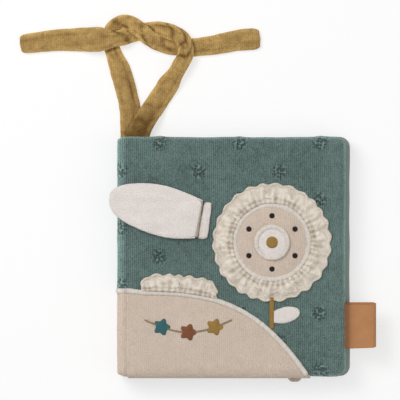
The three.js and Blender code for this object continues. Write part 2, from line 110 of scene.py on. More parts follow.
def effect(name, inputs=(), outputs=()):
    """A new node group with its input and output nodes. Each takes a place and a colour and gives
    that colour toned, and a height; the inputs and outputs named here are further numbers."""
    tree = bpy.data.node_groups.new(name, "ShaderNodeTree")
    sockets = [("Vector", "Vector", "INPUT"), ("Colour", "Color", "INPUT")]
    sockets += [(one, "Float", "INPUT") for one in inputs]
    sockets += [("Colour", "Color", "OUTPUT"), ("Height", "Float", "OUTPUT")]
    sockets += [(one, "Float", "OUTPUT") for one in outputs]
    for socket, kind, way in sockets:
        tree.interface.new_socket(name=socket, in_out=way, socket_type="NodeSocket" + kind)
    return tree, tree.nodes.new("NodeGroupInput"), tree.nodes.new("NodeGroupOutput")


def put_out(tree, given, out, tone, height):
    """Sends the given colour times the tone, and the height, to the group's outputs."""
    tree.links.new(vector_maths(tree, "MULTIPLY", given.outputs["Colour"], tone), out.inputs[0])
    tree.links.new(height, out.inputs[1])


TUFT_SIZE = (0.0011, 0.0009, 0.0011)
TUFT_WANDER = 0.0009
AVERAGE_LIGHT = 0.71


def make_pile():
    """Cut pile on a knit: columns of small tufts, brushed patches and soft large mottling."""
    tree, given, out = effect("pile", ("Rib Depth", "Contrast"))
    place = given.outputs["Vector"]
    fine, brushed = clouds(tree, place, 1700.0), clouds(tree, place, 300.0, 3.0)
    mottled = clouds(tree, place, 45.0, 3.0)
    wander = brushed.node.outputs["Color"]
    bent = vector_maths(tree, "MULTIPLY", wander, (TUFT_WANDER,) * 3)
    cells = vector_maths(tree, "DIVIDE", vector_maths(tree, "ADD", place, bent), TUFT_SIZE)
    tufts = node(tree, "TexVoronoi", {"Vector": cells, "Scale": 1.0, "Randomness": 0.6})
    tuft = maths(tree, "SUBTRACT", 0.45, tufts.outputs["Distance"])
    across = node(tree, "SeparateXYZ", {0: cells}).outputs[0]
    wave = maths(tree, "SINE", maths(tree, "MULTIPLY", across, 2 * math.pi))
    rib = maths(tree, "MULTIPLY", wave, given.outputs["Rib Depth"])
    light = weighted(tree, -AVERAGE_LIGHT, (tuft, 0.62), (fine, 0.5), (brushed, 0.5),
                     (mottled, 0.42), (rib, 0.12))
    put_out(tree, given, out, weighted(tree, 1.0, (light, given.outputs["Contrast"])),
            weighted(tree, fine, (tuft, 1.4), (rib, 0.35), (brushed, 0.9)))
    return tree


def make_crinkle():
    """Thin gathered cloth: a fine plain weave over small creases."""
    tree, given, out = effect("crinkled_cloth", ("Crease Scale", "Crease Depth"))
    place = given.outputs["Vector"]
    weave = clouds(tree, place, 2600.0)
    creases = clouds(tree, place, given.outputs["Crease Scale"], 4.0)
    creases.node.inputs["Distortion"].default_value = 1.2
    depth = maths(tree, "MULTIPLY", given.outputs["Crease Depth"], 4.0)
    fold = maths(tree, "ABSOLUTE", maths(tree, "SUBTRACT", creases, 0.5))
    fold = maths(tree, "MULTIPLY", fold, depth)
    put_out(tree, given, out, weighted(tree, 0.82, (fold, 0.16), (weave, 0.24)),
            weighted(tree, fold, (weave, 0.4)))
    return tree


PILE, CRINKLE = make_pile(), make_crinkle()


def material(name, roughness=0.9, sheen=0.0, sheen_tint=(1.0, 1.0, 1.0, 1.0)):
    """A new material, its tree, its shader and its texture coordinates."""
    made = bpy.data.materials.new(name)
    made.use_nodes = True
    tree = made.node_tree
    shader = tree.nodes["Principled BSDF"]
    shader.inputs["Roughness"].default_value = roughness
    shader.inputs["Sheen Weight"].default_value = sheen
    shader.inputs["Sheen Roughness"].default_value = 0.45
    shader.inputs["Sheen Tint"].default_value = sheen_tint
    shader.inputs["Specular IOR Level"].default_value = 0.25
    coordinates = tree.nodes.new("ShaderNodeTexCoord")
    return made, tree, shader, coordinates


def bump(tree, shader, height, distance):
    raised = node(tree, "Bump", {"Height": height, "Distance": distance, "Strength": 1.0})
    tree.links.new(raised.outputs[0], shader.inputs["Normal"])


def toned_by_shade_marks(tree, colour, tint):
    """The colour where the piece's marks are nought, and lighter or darker elsewhere: painted light
    and shade, with some tone that varies at random.
    """
    # The attribute named fold holds the piece's marks of painted light and shade.
    shade_and_tone_mark = node(tree, "Attribute", attribute_name="fold").outputs["Fac"]
    factor = vector_maths(tree, "ADD", vector_maths(tree, "MULTIPLY", shade_and_tone_mark, tint),
                          (1.0, 1.0, 1.0))
    return vector_maths(tree, "MULTIPLY", colour, factor)


PILE_DEPTH = 0.00022


def velour(name, colour, rib, contrast, sheen, spots=None, crushed=0.0, painted_rim_sheen=0.1,
           shade_and_tone_tint=(0.75, 0.75, 0.75)):
    """Cut velour, plain or with tonal spots, and crushed in folds where it has been tied. Its
    colour is lighter where it turns away from the camera, a painted sheen, and it takes the piece's
    marks of painted light and shade."""
    tint = tuple(min(1.0, 0.25 + value) for value in colour[:3]) + (1.0,)
    made, tree, shader, where = material(name, 0.95, sheen, tint)
    place = where.outputs["Object"]
    pile = node(tree, "Group", {"Vector": place, "Colour": colour, "Rib Depth": rib,
                                "Contrast": contrast}, node_tree=PILE)
    toned, height = pile.outputs
    if spots:
        spotted = node(tree, "Group", {"Vector": place, "Colour": toned}, node_tree=spots)
        toned, height = spotted.outputs[0], maths(tree, "ADD", height, spotted.outputs[1])
    if crushed:
        folds = node(tree, "Group", {"Vector": place, "Colour": toned, "Crease Scale": 105.0,
                                     "Crease Depth": crushed}, node_tree=CRINKLE)
        toned, height = folds.outputs[0], weighted(tree, height, (folds.outputs[1], 2.5))
    # Painted sheen: the colour is lighter where the surface turns away from the camera.
    turned = node(tree, "LayerWeight", {"Blend": 0.5}).outputs["Facing"]
    lighter = weighted(tree, 1.0, (maths(tree, "POWER", turned, 1.6), painted_rim_sheen))
    toned = vector_maths(tree, "MULTIPLY", toned, lighter)
    tree.links.new(toned_by_shade_marks(tree, toned, shade_and_tone_tint), shader.inputs["Base Color"])
    bump(tree, shader, height, PILE_DEPTH)
    return made


ochre_velour = velour("ochre_velour", linear(184, 149, 90), rib=0.6, contrast=0.7, sheen=0.3,
                      crushed=0.8, painted_rim_sheen=0.5, shade_and_tone_tint=(0.78, 0.86, 0.97))


MM = 0.001
COVER_SHIFT = Vector((-4.725, 1.55, 0.0))
STRAP_STEPS, STRAP_SIDES = 300, 40
STRAP_FLOOR = 0.03
STRAP_WIDTH = 12.0
STRAP_KNOT_WIDTH = 9.0
STRAP_THICKNESS = 3.0
STRAP_END = 0.034
KNOT_FADE = 0.07


def placed(points):
    """Points of the cover's own millimetres, as points of the scene."""
    return [(Vector(point) + COVER_SHIFT) * MM for point in points]


def route_through(places, count):
    """Evenly spaced points on the smooth curve that runs through the places."""
    ends = [2 * places[0] - places[1], *places, 2 * places[-1] - places[-2]]
    fine = []
    for a, b, c, d in zip(ends, ends[1:], ends[2:], ends[3:]):
        ab, bc, cd = (b - a).length ** 0.5, (c - b).length ** 0.5, (d - c).length ** 0.5
        out = ((b - a) / ab - (c - a) / (ab + bc) + (c - b) / bc) * bc
        back = ((c - b) / bc - (d - b) / (bc + cd) + (d - c) / cd) * bc
        for k in range(20):
            t = k / 20
            fine.append(
                b * (2 * t ** 3 - 3 * t ** 2 + 1) + out * (t ** 3 - 2 * t ** 2 + t)
                + c * (3 * t ** 2 - 2 * t ** 3) + back * (t ** 3 - t ** 2)
            )
    fine.append(places[-1])
    travelled = [0.0]
    for one, two in zip(fine, fine[1:]):
        travelled.append(travelled[-1] + (two - one).length)
    points, at = [], 0
    for k in range(count + 1):
        goal = travelled[-1] * k / count
        while at < len(fine) - 2 and travelled[at + 1] < goal:
            at += 1
        step = travelled[at + 1] - travelled[at]
        share = (goal - travelled[at]) / step if step else 0.0
        points.append(fine[at].lerp(fine[at + 1], min(max(share, 0.0), 1.0)))
    return points


def wobble(x, y, z):
    """Smooth noise from about -1 to 1, the same at each run."""
    return noise.noise(Vector((x, y, z)))


def smooth_step(low, high, value):
    share = min(max((value - low) / (high - low), 0.0), 1.0)
    return share * share * (3 - 2 * share)


def grid(across, up):
    """A flat grid from -0.5 to 0.5 with a UV map from 0 to 1."""
    work = bmesh.new()
    work.loops.layers.uv.new("UVMap")
    bmesh.ops.create_grid(work, x_segments=across, y_segments=up, size=0.5, calc_uvs=True)
    return work


def piece(name, work, *materials):
    """The mesh as an object with smooth faces that point outwards."""
    bmesh.ops.remove_doubles(work, verts=work.verts, dist=1e-6)
    bmesh.ops.recalc_face_normals(work, faces=work.faces)
    mesh = bpy.data.meshes.new(name)
    work.to_mesh(mesh)
    work.free()
    mesh.shade_smooth()
    for one in materials:
        mesh.materials.append(one)
    made = bpy.data.objects.new(name, mesh)
    scene.collection.objects.link(made)
    return made


UP = Vector((0, 0, 1))


def tube(name, path, around, section, finish):
    """A closed tube along the path; section(t, angle) gives its offsets to the side and up, and how
    much painted light or shade its colour gets there."""
    along = len(path) - 1
    work = grid(along, around)
    marks = work.verts.layers.float.new("fold")
    for vert in work.verts:
        t, turn = vert.co.x + 0.5, vert.co.y + 0.5
        k = round(t * along)
        ahead = path[min(k + 1, along)] - path[max(k - 1, 0)]
        side = ahead.cross(UP).normalized()
        lift = side.cross(ahead).normalized()
        to_side, to_up, vert[marks] = section(t, 2 * math.pi * turn)
        vert.co = path[k] + side * to_side + lift * to_up
    return piece(name, work, finish)


def path_length(path):
    """The length of a path of scene points in millimetres."""
    return sum((b - a).length for a, b in zip(path, path[1:])) / MM


def rounded_end(t, share):
    """How full a tube with rounded closed ends is at t, when each end takes that share."""
    near = min(t, 1 - t) / share
    return math.sqrt(max(0.0, 1 - (1 - near) ** 2)) if near < 1 else 1.0


def power(value, exponent):
    return math.copysign(abs(value) ** exponent, value)


STRAP_UNDER = placed([
    (-57.8, 62.5, 2.7), (-57.8, 67.3, 2.7), (-57.9, 73, 1.7), (-58.3, 83, 1.5),
    (-60.7, 94, 1.5), (-64, 105, 1.5),
    (-67.8, 115, 1.5), (-69.5, 123, 1.5), (-66.4, 129.4, 1.5), (-59.7, 130.9, 4.9),
    (-53.5, 127.8, 5.2), (-47, 122, 5.2), (-38, 118.3, 1.5), (-27.5, 117, 1.5),
    (-19, 117.6, 1.5), (-8, 119.2, 1.5), (3, 121.3, 1.5), (15, 122.2, 1.5),
])
STRAP_OVER = placed([
    (-54.6, 62.5, 4.4), (-53.9, 67.3, 4.5), (-51.6, 73, 4.9), (-48.4, 78.5, 4.9),
    (-43.4, 86, 1.5), (-37.6, 95, 1.5), (-31.3, 105, 4.9), (-27, 114, 5.2),
    (-28.6, 121.4, 5.2), (-34.4, 125.4, 4.9),
    (-41.5, 127.4, 1.5), (-48.5, 126.8, 1.5), (-55.8, 124.8, 1.5), (-63, 122.6, 4.9),
    (-70.5, 121.8, 5.2), (-78, 121.6, 4.9), (-87, 121.6, 1.5), (-98, 121.4, 1.5),
    (-109, 120.3, 1.5), (-120.2, 118.9, 1.5),
])


def strap(name, places, knot, widths, seed, creases, root_shade, turned):
    """One strap; widths are shares of its flat width at its root, before and after its knot, and at
    its free end. Each crease is its place along, its depth and its half length; it pinches the
    strap and darkens it with painted shade. Below the knot one side is darkened with painted shade
    by the share turned, and the root by the share root_shade."""
    path = route_through(places, STRAP_STEPS)
    length = path_length(path)

    def section(t, angle):
        in_knot = smooth_step(knot[0] - KNOT_FADE, knot[0], t) * (
            1 - smooth_step(knot[1], knot[1] + KNOT_FADE, t))
        root, before, after, tip = widths
        flat = root + (before - root) * smooth_step(0.0, 0.1, t)
        flat += (after - before) * smooth_step(*knot, t)
        flat += (tip - after) * smooth_step(knot[1], 1, t)
        width = STRAP_WIDTH * flat * (1 - in_knot) + STRAP_KNOT_WIDTH * in_knot
        end = rounded_end(t, STRAP_END)
        side = power(math.cos(angle), 0.62)
        high = power(math.sin(angle), 0.8)
        crush = 0.45 + 0.55 * in_knot
        wrinkle = wobble(t * 40, side * 1.6, seed) * crush * 0.9
        wrinkle += wobble(t * 90, side * 2.2, seed + 6) * crush * 0.5
        wrinkle += wobble(t * 14, side * 3.4, seed + 9) * 0.5
        bent = t - 0.03 * side + 0.01 * math.sin(side * 3 + seed)
        pinch = sum(depth * math.exp(-((bent - at) / half) ** 2) for at, depth, half in creases)
        seam = 0.3 * math.exp(-((side - 0.42 + 0.1 * math.sin(t * 21)) / 0.07) ** 2)
        edge = 1 + 0.055 * wobble(t * 26, math.copysign(4.0, side), seed + 3)
        thick = STRAP_THICKNESS / 2 * min(1.0, 0.45 + 0.55 * end)
        thick *= 0.45 + 0.55 * smooth_step(0.02, 0.08, t)
        puff = 1 - 0.35 * abs(side) ** 3
        patches = wobble(t * 12, side * 2.1, seed + 12)
        patches += 0.7 * wobble(t * 45, side * 3.5, seed + 15)
        # Painted light and shade: wrinkle ridges lighter; creases, one side below the knot and the
        # root darker; the edges lighter away from the ends, a painted sheen. The seam line is
        # darker, the patches are tone that varies at random, and the knot is a little lighter.
        shade = 0.5 * wrinkle - (0.5 + 0.35 * in_knot) * pinch - seam + 0.22 * patches
        shade += 0.06 * in_knot + 0.3 * smooth_step(0.5, 0.95, abs(side)) * (end > 0.9)
        shade -= turned * smooth_step(-0.2, 0.6, side) * (1 - smooth_step(0.2, 0.32, t))
        shade -= root_shade * (1 - smooth_step(0.02, 0.2, t)) * (1 + 0.3 * patches)
        if not 0 < t < 1:
            return 0.0, 0.0, max(-0.8, min(shade, 0.5))
        to_side = side * width / 2 * edge * (0.55 + 0.45 * end) * (1 - 0.05 * pinch)
        to_up = high * thick * puff * (1 + (0.42 * wrinkle - seam - 0.4 * pinch) * (high > 0))
        return to_side * MM, to_up * MM, max(-0.8, min(shade, 0.5))

    made = tube(name, path, STRAP_SIDES, section, ochre_velour)
    for vert in made.data.vertices:
        vert.co.z = max(vert.co.z, STRAP_FLOOR * MM)
    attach(made, "back_cover")
    return made


strap_under = strap(
    "strap_under_cloth", STRAP_UNDER, knot=(0.34, 0.66), widths=(1.0, 0.98, 0.8, 1.02), seed=2.0,
    creases=((0.06, 0.8, 0.008), (0.37, 0.7, 0.007), (0.41, 0.9, 0.008), (0.47, 0.9, 0.009),
             (0.56, 0.8, 0.008), (0.66, 0.6, 0.01)),
    root_shade=0.22, turned=0.32)
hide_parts("strap_under")
strap_over = strap(
    "strap_over_cloth", STRAP_OVER, knot=(0.3, 0.66), widths=(1.13, 1.0, 1.2, 0.92), seed=7.0,
    creases=((0.09, 0.6, 0.007), (0.15, 0.5, 0.008), (0.36, 0.9, 0.008), (0.41, 0.9, 0.007),
             (0.46, 0.8, 0.009), (0.54, 0.9, 0.008), (0.64, 0.8, 0.01)),
    root_shade=0.75, turned=0.0)
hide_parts("strap_over")


# Panels: each is two cloths sewn together round the edge and turned, over crinkle film and wadding.
# The upper and lower cloth are separate pieces that meet in the dark line of the edge seam.
SPOT_PERIOD = (0.04464, 0.03164, 1.0)
SPOT_MIDDLES = ((-0.00138, 0.0649), (0.02094, 0.0491))
SPOT_RADIUS = 0.0052
SPOT_WANDER = 0.0013
SPOT_LEVEL = 0.0205


def fade(tree, value, low, high):
    """0 at low, rising to 1 at high."""
    return node(tree, "MapRange", {0: value, 1: low, 2: high}).outputs[0]


def make_spots():
    """Round spots woven in a staggered lattice, each a cluster of clipped and raised loops. The
    lattice runs on down the sides of the cloth, round its folds."""
    tree, given, out = effect("tonal_spots")
    wander = clouds(tree, given.outputs["Vector"], 520.0).node.outputs["Color"]
    shift = vector_maths(tree, "MULTIPLY", wander, (2 * SPOT_WANDER,) * 3)
    apart = node(tree, "SeparateXYZ", {"Vector": given.outputs["Vector"]})
    down = maths(tree, "SUBTRACT", apart.outputs["Z"], SPOT_LEVEL)
    unfolded = node(tree, "CombineXYZ", {"X": maths(tree, "ADD", apart.outputs["X"], down),
                                         "Y": apart.outputs["Y"]}).outputs[0]
    place = vector_maths(tree, "ADD", unfolded, shift)
    nearest = []
    for x, y in SPOT_MIDDLES:
        corner = (x + SPOT_WANDER - SPOT_PERIOD[0] / 2, y + SPOT_WANDER - SPOT_PERIOD[1] / 2, 0)
        moved = vector_maths(tree, "SUBTRACT", place, corner)
        cell = vector_maths(tree, "FRACTION", vector_maths(tree, "DIVIDE", moved, SPOT_PERIOD))
        middle = vector_maths(tree, "SUBTRACT", cell, (0.5, 0.5, 0.0))
        flat = vector_maths(tree, "MULTIPLY", middle, (SPOT_PERIOD[0], SPOT_PERIOD[1], 0.0))
        nearest.append(vector_maths(tree, "LENGTH", flat))
    inside = fade(tree, maths(tree, "MINIMUM", *nearest), SPOT_RADIUS, SPOT_RADIUS * 0.6)
    loops = node(tree, "TexVoronoi", {"Vector": unfolded, "Scale": 620.0},
                 voronoi_dimensions="2D").outputs["Distance"]
    clipped = maths(tree, "MULTIPLY", inside, fade(tree, loops, 0.42, 0.2))
    raised = maths(tree, "MULTIPLY", inside, fade(tree, loops, 0.42, 0.6))
    put_out(tree, given, out,
            weighted(tree, 1.0, (raised, 0.6), (clipped, -0.42), (inside, -0.12)),
            maths(tree, "MULTIPLY", maths(tree, "SUBTRACT", raised, clipped), 2.2))
    return tree


def cloth(name, colour, scale, crease, depth, roughness=0.9, sheen=0.15):
    """Thin plain cloth or film with small creases."""
    made, tree, shader, where = material(name, roughness, sheen)
    creased = node(tree, "Group", {"Vector": where.outputs["Object"], "Colour": colour,
                                   "Crease Scale": scale, "Crease Depth": crease},
                   node_tree=CRINKLE)
    toned = toned_by_shade_marks(tree, creased.outputs[0], (0.75, 0.85, 0.95))
    tree.links.new(toned, shader.inputs["Base Color"])
    bump(tree, shader, creased.outputs[1], depth)
    return made


teal_velour = velour("teal_velour", linear(98, 119, 115), rib=1.2, contrast=1.25, sheen=0.5,
                     spots=make_spots(), painted_rim_sheen=1.1)
lining_cloth = cloth("lining_cloth", linear(151, 170, 164), scale=90.0, crease=0.5, depth=0.0003)


def mark_shade_and_tone(made, share):
    """Marks the piece with painted light and shade, and some tone that varies at random:
    share(place) is how much lighter or darker, above or below nought."""
    marks = made.data.attributes.new("fold", "FLOAT", "POINT")
    for vert, mark in zip(made.data.vertices, marks.data):
        mark.value = share(vert.co / MM)


PAGE_LEFT = -64.725
PAGE_RIGHT = 60.275
FRONT_RIGHT = 57.775
PAGE_LOW = -65.45
PAGE_HIGH = 68.55
BACK_BASE, BACK_TOP = 0.0, 7.0
INNER_BASE, INNER_TOP = 7.3, 13.3
FRONT_BASE, FRONT_TOP = 13.6, 21.0
FRONT_MIDDLE, FRONT_HALF = (FRONT_BASE + FRONT_TOP) / 2, (FRONT_TOP - FRONT_BASE) / 2
FORE_RADIUS = 6.0
SPINE_RADIUS = 0.8
ROLL_WIDTH = 6.0
CLOTH = 0.7


def on_disc(a, b):
    """A point of the square from -1 to 1, moved into the round disc."""
    return a * math.sqrt(1 - b * b / 2), b * math.sqrt(1 - a * a / 2)


def rounded_place(u, v, left, right):
    """A point of the unit square moved into a panel with round corners, how deep inside it lies,
    and how near it is to the middle of its edge."""
    x = left + (right - left) * u
    y = PAGE_LOW + (PAGE_HIGH - PAGE_LOW) * v
    radius = FORE_RADIUS if u > 0.5 else SPINE_RADIUS
    edge_x = (right - x) if u > 0.5 else (x - left)
    edge_y = (PAGE_HIGH - y) if v > 0.5 else (y - PAGE_LOW)
    depth = min(edge_x, edge_y)
    if edge_x < radius and edge_y < radius:
        a, b = on_disc(1 - edge_x / radius, 1 - edge_y / radius)
        to_x, to_y = radius * (1 - a), radius * (1 - b)
        x += (to_x - edge_x) * (-1 if u > 0.5 else 1)
        y += (to_y - edge_y) * (-1 if v > 0.5 else 1)
        depth = radius * (1 - math.hypot(a, b))
    bow = math.sin(math.pi * u) if edge_y < edge_x else math.sin(math.pi * v)
    return x, y, max(depth, 0.0), bow


def roll(depth):
    """How far a panel's cloth has risen, from 0 at its seam to 1, at a depth inside the seam."""
    return (1 - (1 - min(depth / ROLL_WIDTH, 1.0)) ** 2.4) ** 0.62


def swell(x, y, depth, seed):
    """How full the panel is at a place, from 0 at its seam to about 1, with soft dents."""
    pucker = wobble(x * 0.17, y * 0.17, seed) * math.exp(-depth / 5.0) * 0.11
    dent = wobble(x * 0.045, y * 0.045, seed + 5) * 0.06
    return roll(depth) * (1 + pucker + dent * min(depth / ROLL_WIDTH, 1.0))


def spot_bump(x):
    """How far the loops of a woven spot push out the top edge, which one row of them meets."""
    period, middle = SPOT_PERIOD[0] / MM, SPOT_MIDDLES[0][0] / MM
    off = (x - middle + period / 2) % period - period / 2
    return 0.5 * math.exp(-(off / 2.4) ** 2)


def seam_shade(right):
    """The linings' edges lie deep between the panels and are darker there."""
    def share(place):
        depth = min(right - place.x, PAGE_HIGH - place.y, place.y - PAGE_LOW)
        return -0.6 * math.exp(-max(depth, 0.0) / 1.6)
    return share


def lighter_towards_fore_edge(place):
    """The front's colour is lighter towards the fore edge and low down."""
    return 0.17 * smooth_step(28.0, 54.0, place.x) * (1 - 0.5 * smooth_step(20.0, 60.0, place.y))


SEAM_RISE = 0.12


def thicken(made, wall, outwards, name="cloth"):
    """Turns a sheet's faces outwards and gives it a wall, in millimetres, on its inner side."""
    if sum(f.normal.dot(outwards) * f.area for f in made.data.polygons) < 0:
        made.data.flip_normals()
    added = made.modifiers.new(name, "SOLIDIFY")
    added.thickness, added.offset = wall * MM, -1.0


def panel_cloth(name, right, base, top, side, seed, finish, body):
    """One cloth of a panel: the upper one with side 1, the lower one with side -1."""
    middle, half = (base + top) / 2, (top - base) / 2
    work = grid(84, 90)
    for vert in work.verts:
        x, y, depth, bow = rounded_place(vert.co.x + 0.5, vert.co.y + 0.5, PAGE_LEFT, right)
        ripple = 0.35 * wobble(x * 0.06, y * 0.06, seed + 2)
        inward = 0.5 * bow * math.exp(-depth / 8)
        if x > (PAGE_LEFT + right) / 2 and right - x < PAGE_HIGH - abs(y):
            x += (ripple - inward) * math.exp(-depth / 8)
        elif PAGE_HIGH - abs(y) < right - x and PAGE_HIGH - abs(y) < x - PAGE_LEFT:
            y += math.copysign(1, y) * (ripple - inward) * math.exp(-depth / 8)
            if y > 0 and finish is teal_velour:
                y += spot_bump(x) * math.exp(-depth / 1.5)
        height = half * swell(x, y, depth, seed)
        if side < 0 and base == 0:
            height = min(height, half - 0.02)
        vert.co = Vector((x, y, middle + side * max(height, SEAM_RISE))) * MM
    made = piece(name, work, finish)
    thicken(made, CLOTH, UP * side)
    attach(made, body)
    if finish is lining_cloth:
        mark_shade_and_tone(made, seam_shade(right))
    elif side > 0:
        mark_shade_and_tone(made, lighter_towards_fore_edge)
    return made


FRONT_SEED = 37.0
panels = (
    (PAGE_RIGHT, BACK_BASE, BACK_TOP, "back_cover", 11.0,
     ((1, "back_cover_lining", lining_cloth, "page_cloth"),
      (-1, "back_cover_velour", teal_velour, "teal_velour"))),
    (PAGE_RIGHT, INNER_BASE, INNER_TOP, "spine_and_page", 23.0,
     ((1, "page_front_cloth", lining_cloth, "page_cloth"),
      (-1, "page_back_cloth", lining_cloth, "page_cloth"))),
    (FRONT_RIGHT, FRONT_BASE, FRONT_TOP, "front_cover", FRONT_SEED,
     ((1, "front_cover_velour", teal_velour, "teal_velour"),
      (-1, "front_cover_lining", lining_cloth, "page_cloth"))),
)
for right, base, top, body, seed, cloths in panels:
    for side, node_name, finish, slot in cloths:
        made = panel_cloth(node_name + "_sewn", right, base, top, side, seed, finish, body)
        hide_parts(node_name)


def top_at(x, y, lift=0.0):
    """The height of the front cover's upper cloth at a place, in millimetres."""
    depth = min(FRONT_RIGHT - x, x - PAGE_LEFT, PAGE_HIGH - y, y - PAGE_LOW)
    return FRONT_MIDDLE + FRONT_HALF * swell(x, y, max(depth, 0.0), FRONT_SEED) + lift


# Spine: the covers' velour runs on round the backs of the pages, with a soft crease beside each
# cover. The beige cloth of the hill wraps round its lower end.
beige_velour = velour("beige_velour", linear(216, 198, 182), rib=0.8, contrast=0.34, sheen=0.12)
SPINE_LIP = -64.9
SPINE_MIDDLE = 10.5
SPINE_LOW, SPINE_LENGTH = -65.3, 133.7
SPINE_ROUNDING = 2.6
BEIGE_TOP = -17.45
FRONT_FOLD = [(-69.75, 14.5), (-69.9, 17.0), (-69.5, 19.3), (-68.3, 20.7), (-66.8, 21.15),
              (-65.4, 20.75), (-64.4, 20.1), (-63.2, 20.5), (-61.0, 20.5), (-57.6, 19.4)]
BACK_FOLD = [(-69.75, 6.5), (-69.85, 4.0), (-69.3, 1.7), (-67.9, 0.35), (-66.4, 0.12),
             (-65.2, 0.4), (-64.5, 1.2), (-64.0, 1.6)]
SPINE_WALL = [(-69.75, 6.5), (-69.95, 8.5), (-70.0, 10.5), (-69.95, 12.5), (-69.75, 14.5)]


def spine_strip(name, profile):
    across = 3 * len(profile)
    line = route_through([Vector((x, 0.0, z)) for x, z in profile], across)
    work = grid(across, 96)
    for vert in work.verts:
        base = line[round((vert.co.x + 0.5) * across)]
        share = vert.co.y + 0.5
        y = SPINE_LOW + SPINE_LENGTH * share
        full = rounded_end(share, SPINE_ROUNDING / SPINE_LENGTH)
        ripple = 0.22 * wobble(base.z * 0.1, y * 0.09, 4.0)
        x = base.x + max(SPINE_LIP - base.x, 0.0) * 0.75 * (1 - full) + ripple * full
        z = SPINE_MIDDLE + (base.z - SPINE_MIDDLE) * (0.93 + 0.07 * full)
        if base.z > FRONT_MIDDLE:
            z = FRONT_MIDDLE + (base.z - FRONT_MIDDLE) * roll(min(PAGE_HIGH - y, y - PAGE_LOW))
        if base.x > -64.0:
            z = max(z, top_at(x, y, 0.14 - 0.3 * smooth_step(-63.0, -58.5, x)))
        vert.co = Vector((x, y, max(z, 0.05))) * MM
    bmesh.ops.bisect_plane(work, geom=work.verts[:] + work.edges[:] + work.faces[:],
                           plane_co=(0, BEIGE_TOP * MM, 0), plane_no=(0, 1, 0))
    for face in work.faces:
        face.material_index = int(face.calc_center_median().y < BEIGE_TOP * MM)
    made = piece(name, work, teal_velour, beige_velour)
    thicken(made, CLOTH, Vector((-1, 0, 0)))
    mark_shade_and_tone(made, painted_spine_highlight)
    return made


def painted_spine_highlight(place):
    """A painted highlight: a lighter band between the back of the spine and its crease, faint on
    the beige.
    """
    soft = 0.8 + 0.5 * wobble(0.0, place.y * 0.05, 5.0)
    band = (1 - smooth_step(-67.6, -63.4, place.x)) * smooth_step(3.0, 14.0, place.z)
    return band * soft * (1.1 if place.y > BEIGE_TOP else 0.12)


spine_wall = spine_strip("spine_wall", SPINE_WALL)
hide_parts("spine_cloth")
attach(spine_wall, "spine_and_page")
front_fold = spine_strip("spine_front_fold", FRONT_FOLD)
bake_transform(front_fold)
back_fold = spine_strip("spine_back_fold", BACK_FOLD)
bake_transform(back_fold)


# Hill: beige velour sewn over the lower left of the cover and into its edge seams, so that it
# rolls over the edge with the cover. A white satin-stitched cord covers its cut edge.
HILL_CURVE = [(-58.725, -17.45), (-21.225, -17.45), (5.275, -20.45), (33.275, -59.45)]
HILL_STEPS = 60
PATCH_LIFT = 0.75


def bezier(points, t):
    a, b, c, d = (Vector(p) for p in points)
    u = 1 - t
    return a * u ** 3 + b * (3 * u * u * t) + c * (3 * u * t * t) + d * t ** 3


def bezier_ahead(points, t):
    return (bezier(points, min(t + 0.01, 1.0)) - bezier(points, max(t - 0.01, 0.0))).normalized()


hill_line = [bezier(HILL_CURVE, k / HILL_STEPS) for k in range(HILL_STEPS + 1)]
hill_foot = bezier_ahead(HILL_CURVE, 1.0)
HILL_REGION = [Vector((-90.0, BEIGE_TOP)), *hill_line, hill_line[-1] + hill_foot * 12,
               Vector((-90.0, -90.0))]


def inside(polygon, x, y):
    """Whether the place lies inside the polygon."""
    crossings = 0
    for one, two in zip(polygon, polygon[1:] + polygon[:1]):
        if (one.y > y) != (two.y > y):
            crossings += x < one.x + (y - one.y) / (two.y - one.y) * (two.x - one.x)
    return crossings % 2 == 1


def hill_sheet():
    work = grid(110, 118)
    for vert in work.verts:
        x, y, depth, bow = rounded_place(vert.co.x + 0.5, vert.co.y + 0.5, PAGE_LEFT, FRONT_RIGHT)
        height = FRONT_HALF * swell(x, y, depth, FRONT_SEED)
        out = PATCH_LIFT * math.exp(-depth / 1.5)
        if y - PAGE_LOW < x - PAGE_LEFT:
            y -= out
        elif depth == x - PAGE_LEFT:
            x -= out * 0.4
        vert.co = Vector((x, y, FRONT_MIDDLE + max(height, SEAM_RISE) + PATCH_LIFT)) * MM
    gone = [f for f in work.faces if not inside(HILL_REGION, *(f.calc_center_median() / MM).xy)]
    bmesh.ops.delete(work, geom=gone, context="FACES")
    return work


hill = piece("hill_patch_cloth", hill_sheet(), beige_velour)
thicken(hill, CLOTH, UP)
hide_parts("hill_patch")
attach(hill, "front_cover")


# Corded edges: a soft cord under close satin stitches of white thread. Each follows the cut edge of
# its patch and holds it down, and the hill's runs on round the spine.
def make_stitches():
    """Satin stitches that lie across a cord: threads side by side, each with its own tone."""
    tree, given, out = effect("satin_stitches", ("Threads", "Slant"))
    parts = node(tree, "SeparateXYZ", {0: given.outputs["Vector"]})
    along = maths(tree, "MULTIPLY", parts.outputs[0], given.outputs["Threads"])
    turns = weighted(tree, along, (parts.outputs[1], given.outputs["Slant"]))
    number = maths(tree, "FLOOR", turns)
    chance = node(tree, "TexWhiteNoise", {"W": number}, noise_dimensions="1D").outputs["Value"]
    hill = maths(tree, "SINE", maths(tree, "MULTIPLY", maths(tree, "FRACT", turns), math.pi))
    put_out(tree, given, out, weighted(tree, 0.8, (hill, 0.24), (chance, 0.16)),
            weighted(tree, hill, (chance, 0.5)))
    return tree


STITCHES = make_stitches()


def thread(name, colour, threads, slant, depth, roughness=0.6):
    """Satin-stitched thread that follows the piece's own UV map."""
    made, tree, shader, where = material(name, roughness, 0.15)
    stitches = node(tree, "Group", {"Vector": where.outputs["UV"], "Colour": colour,
                                    "Threads": threads, "Slant": slant}, node_tree=STITCHES)
    tree.links.new(stitches.outputs[0], shader.inputs["Base Color"])
    bump(tree, shader, stitches.outputs[1], depth)
    return made


CORD_WIDTH = 2.8
CORD_HEIGHT = 1.7


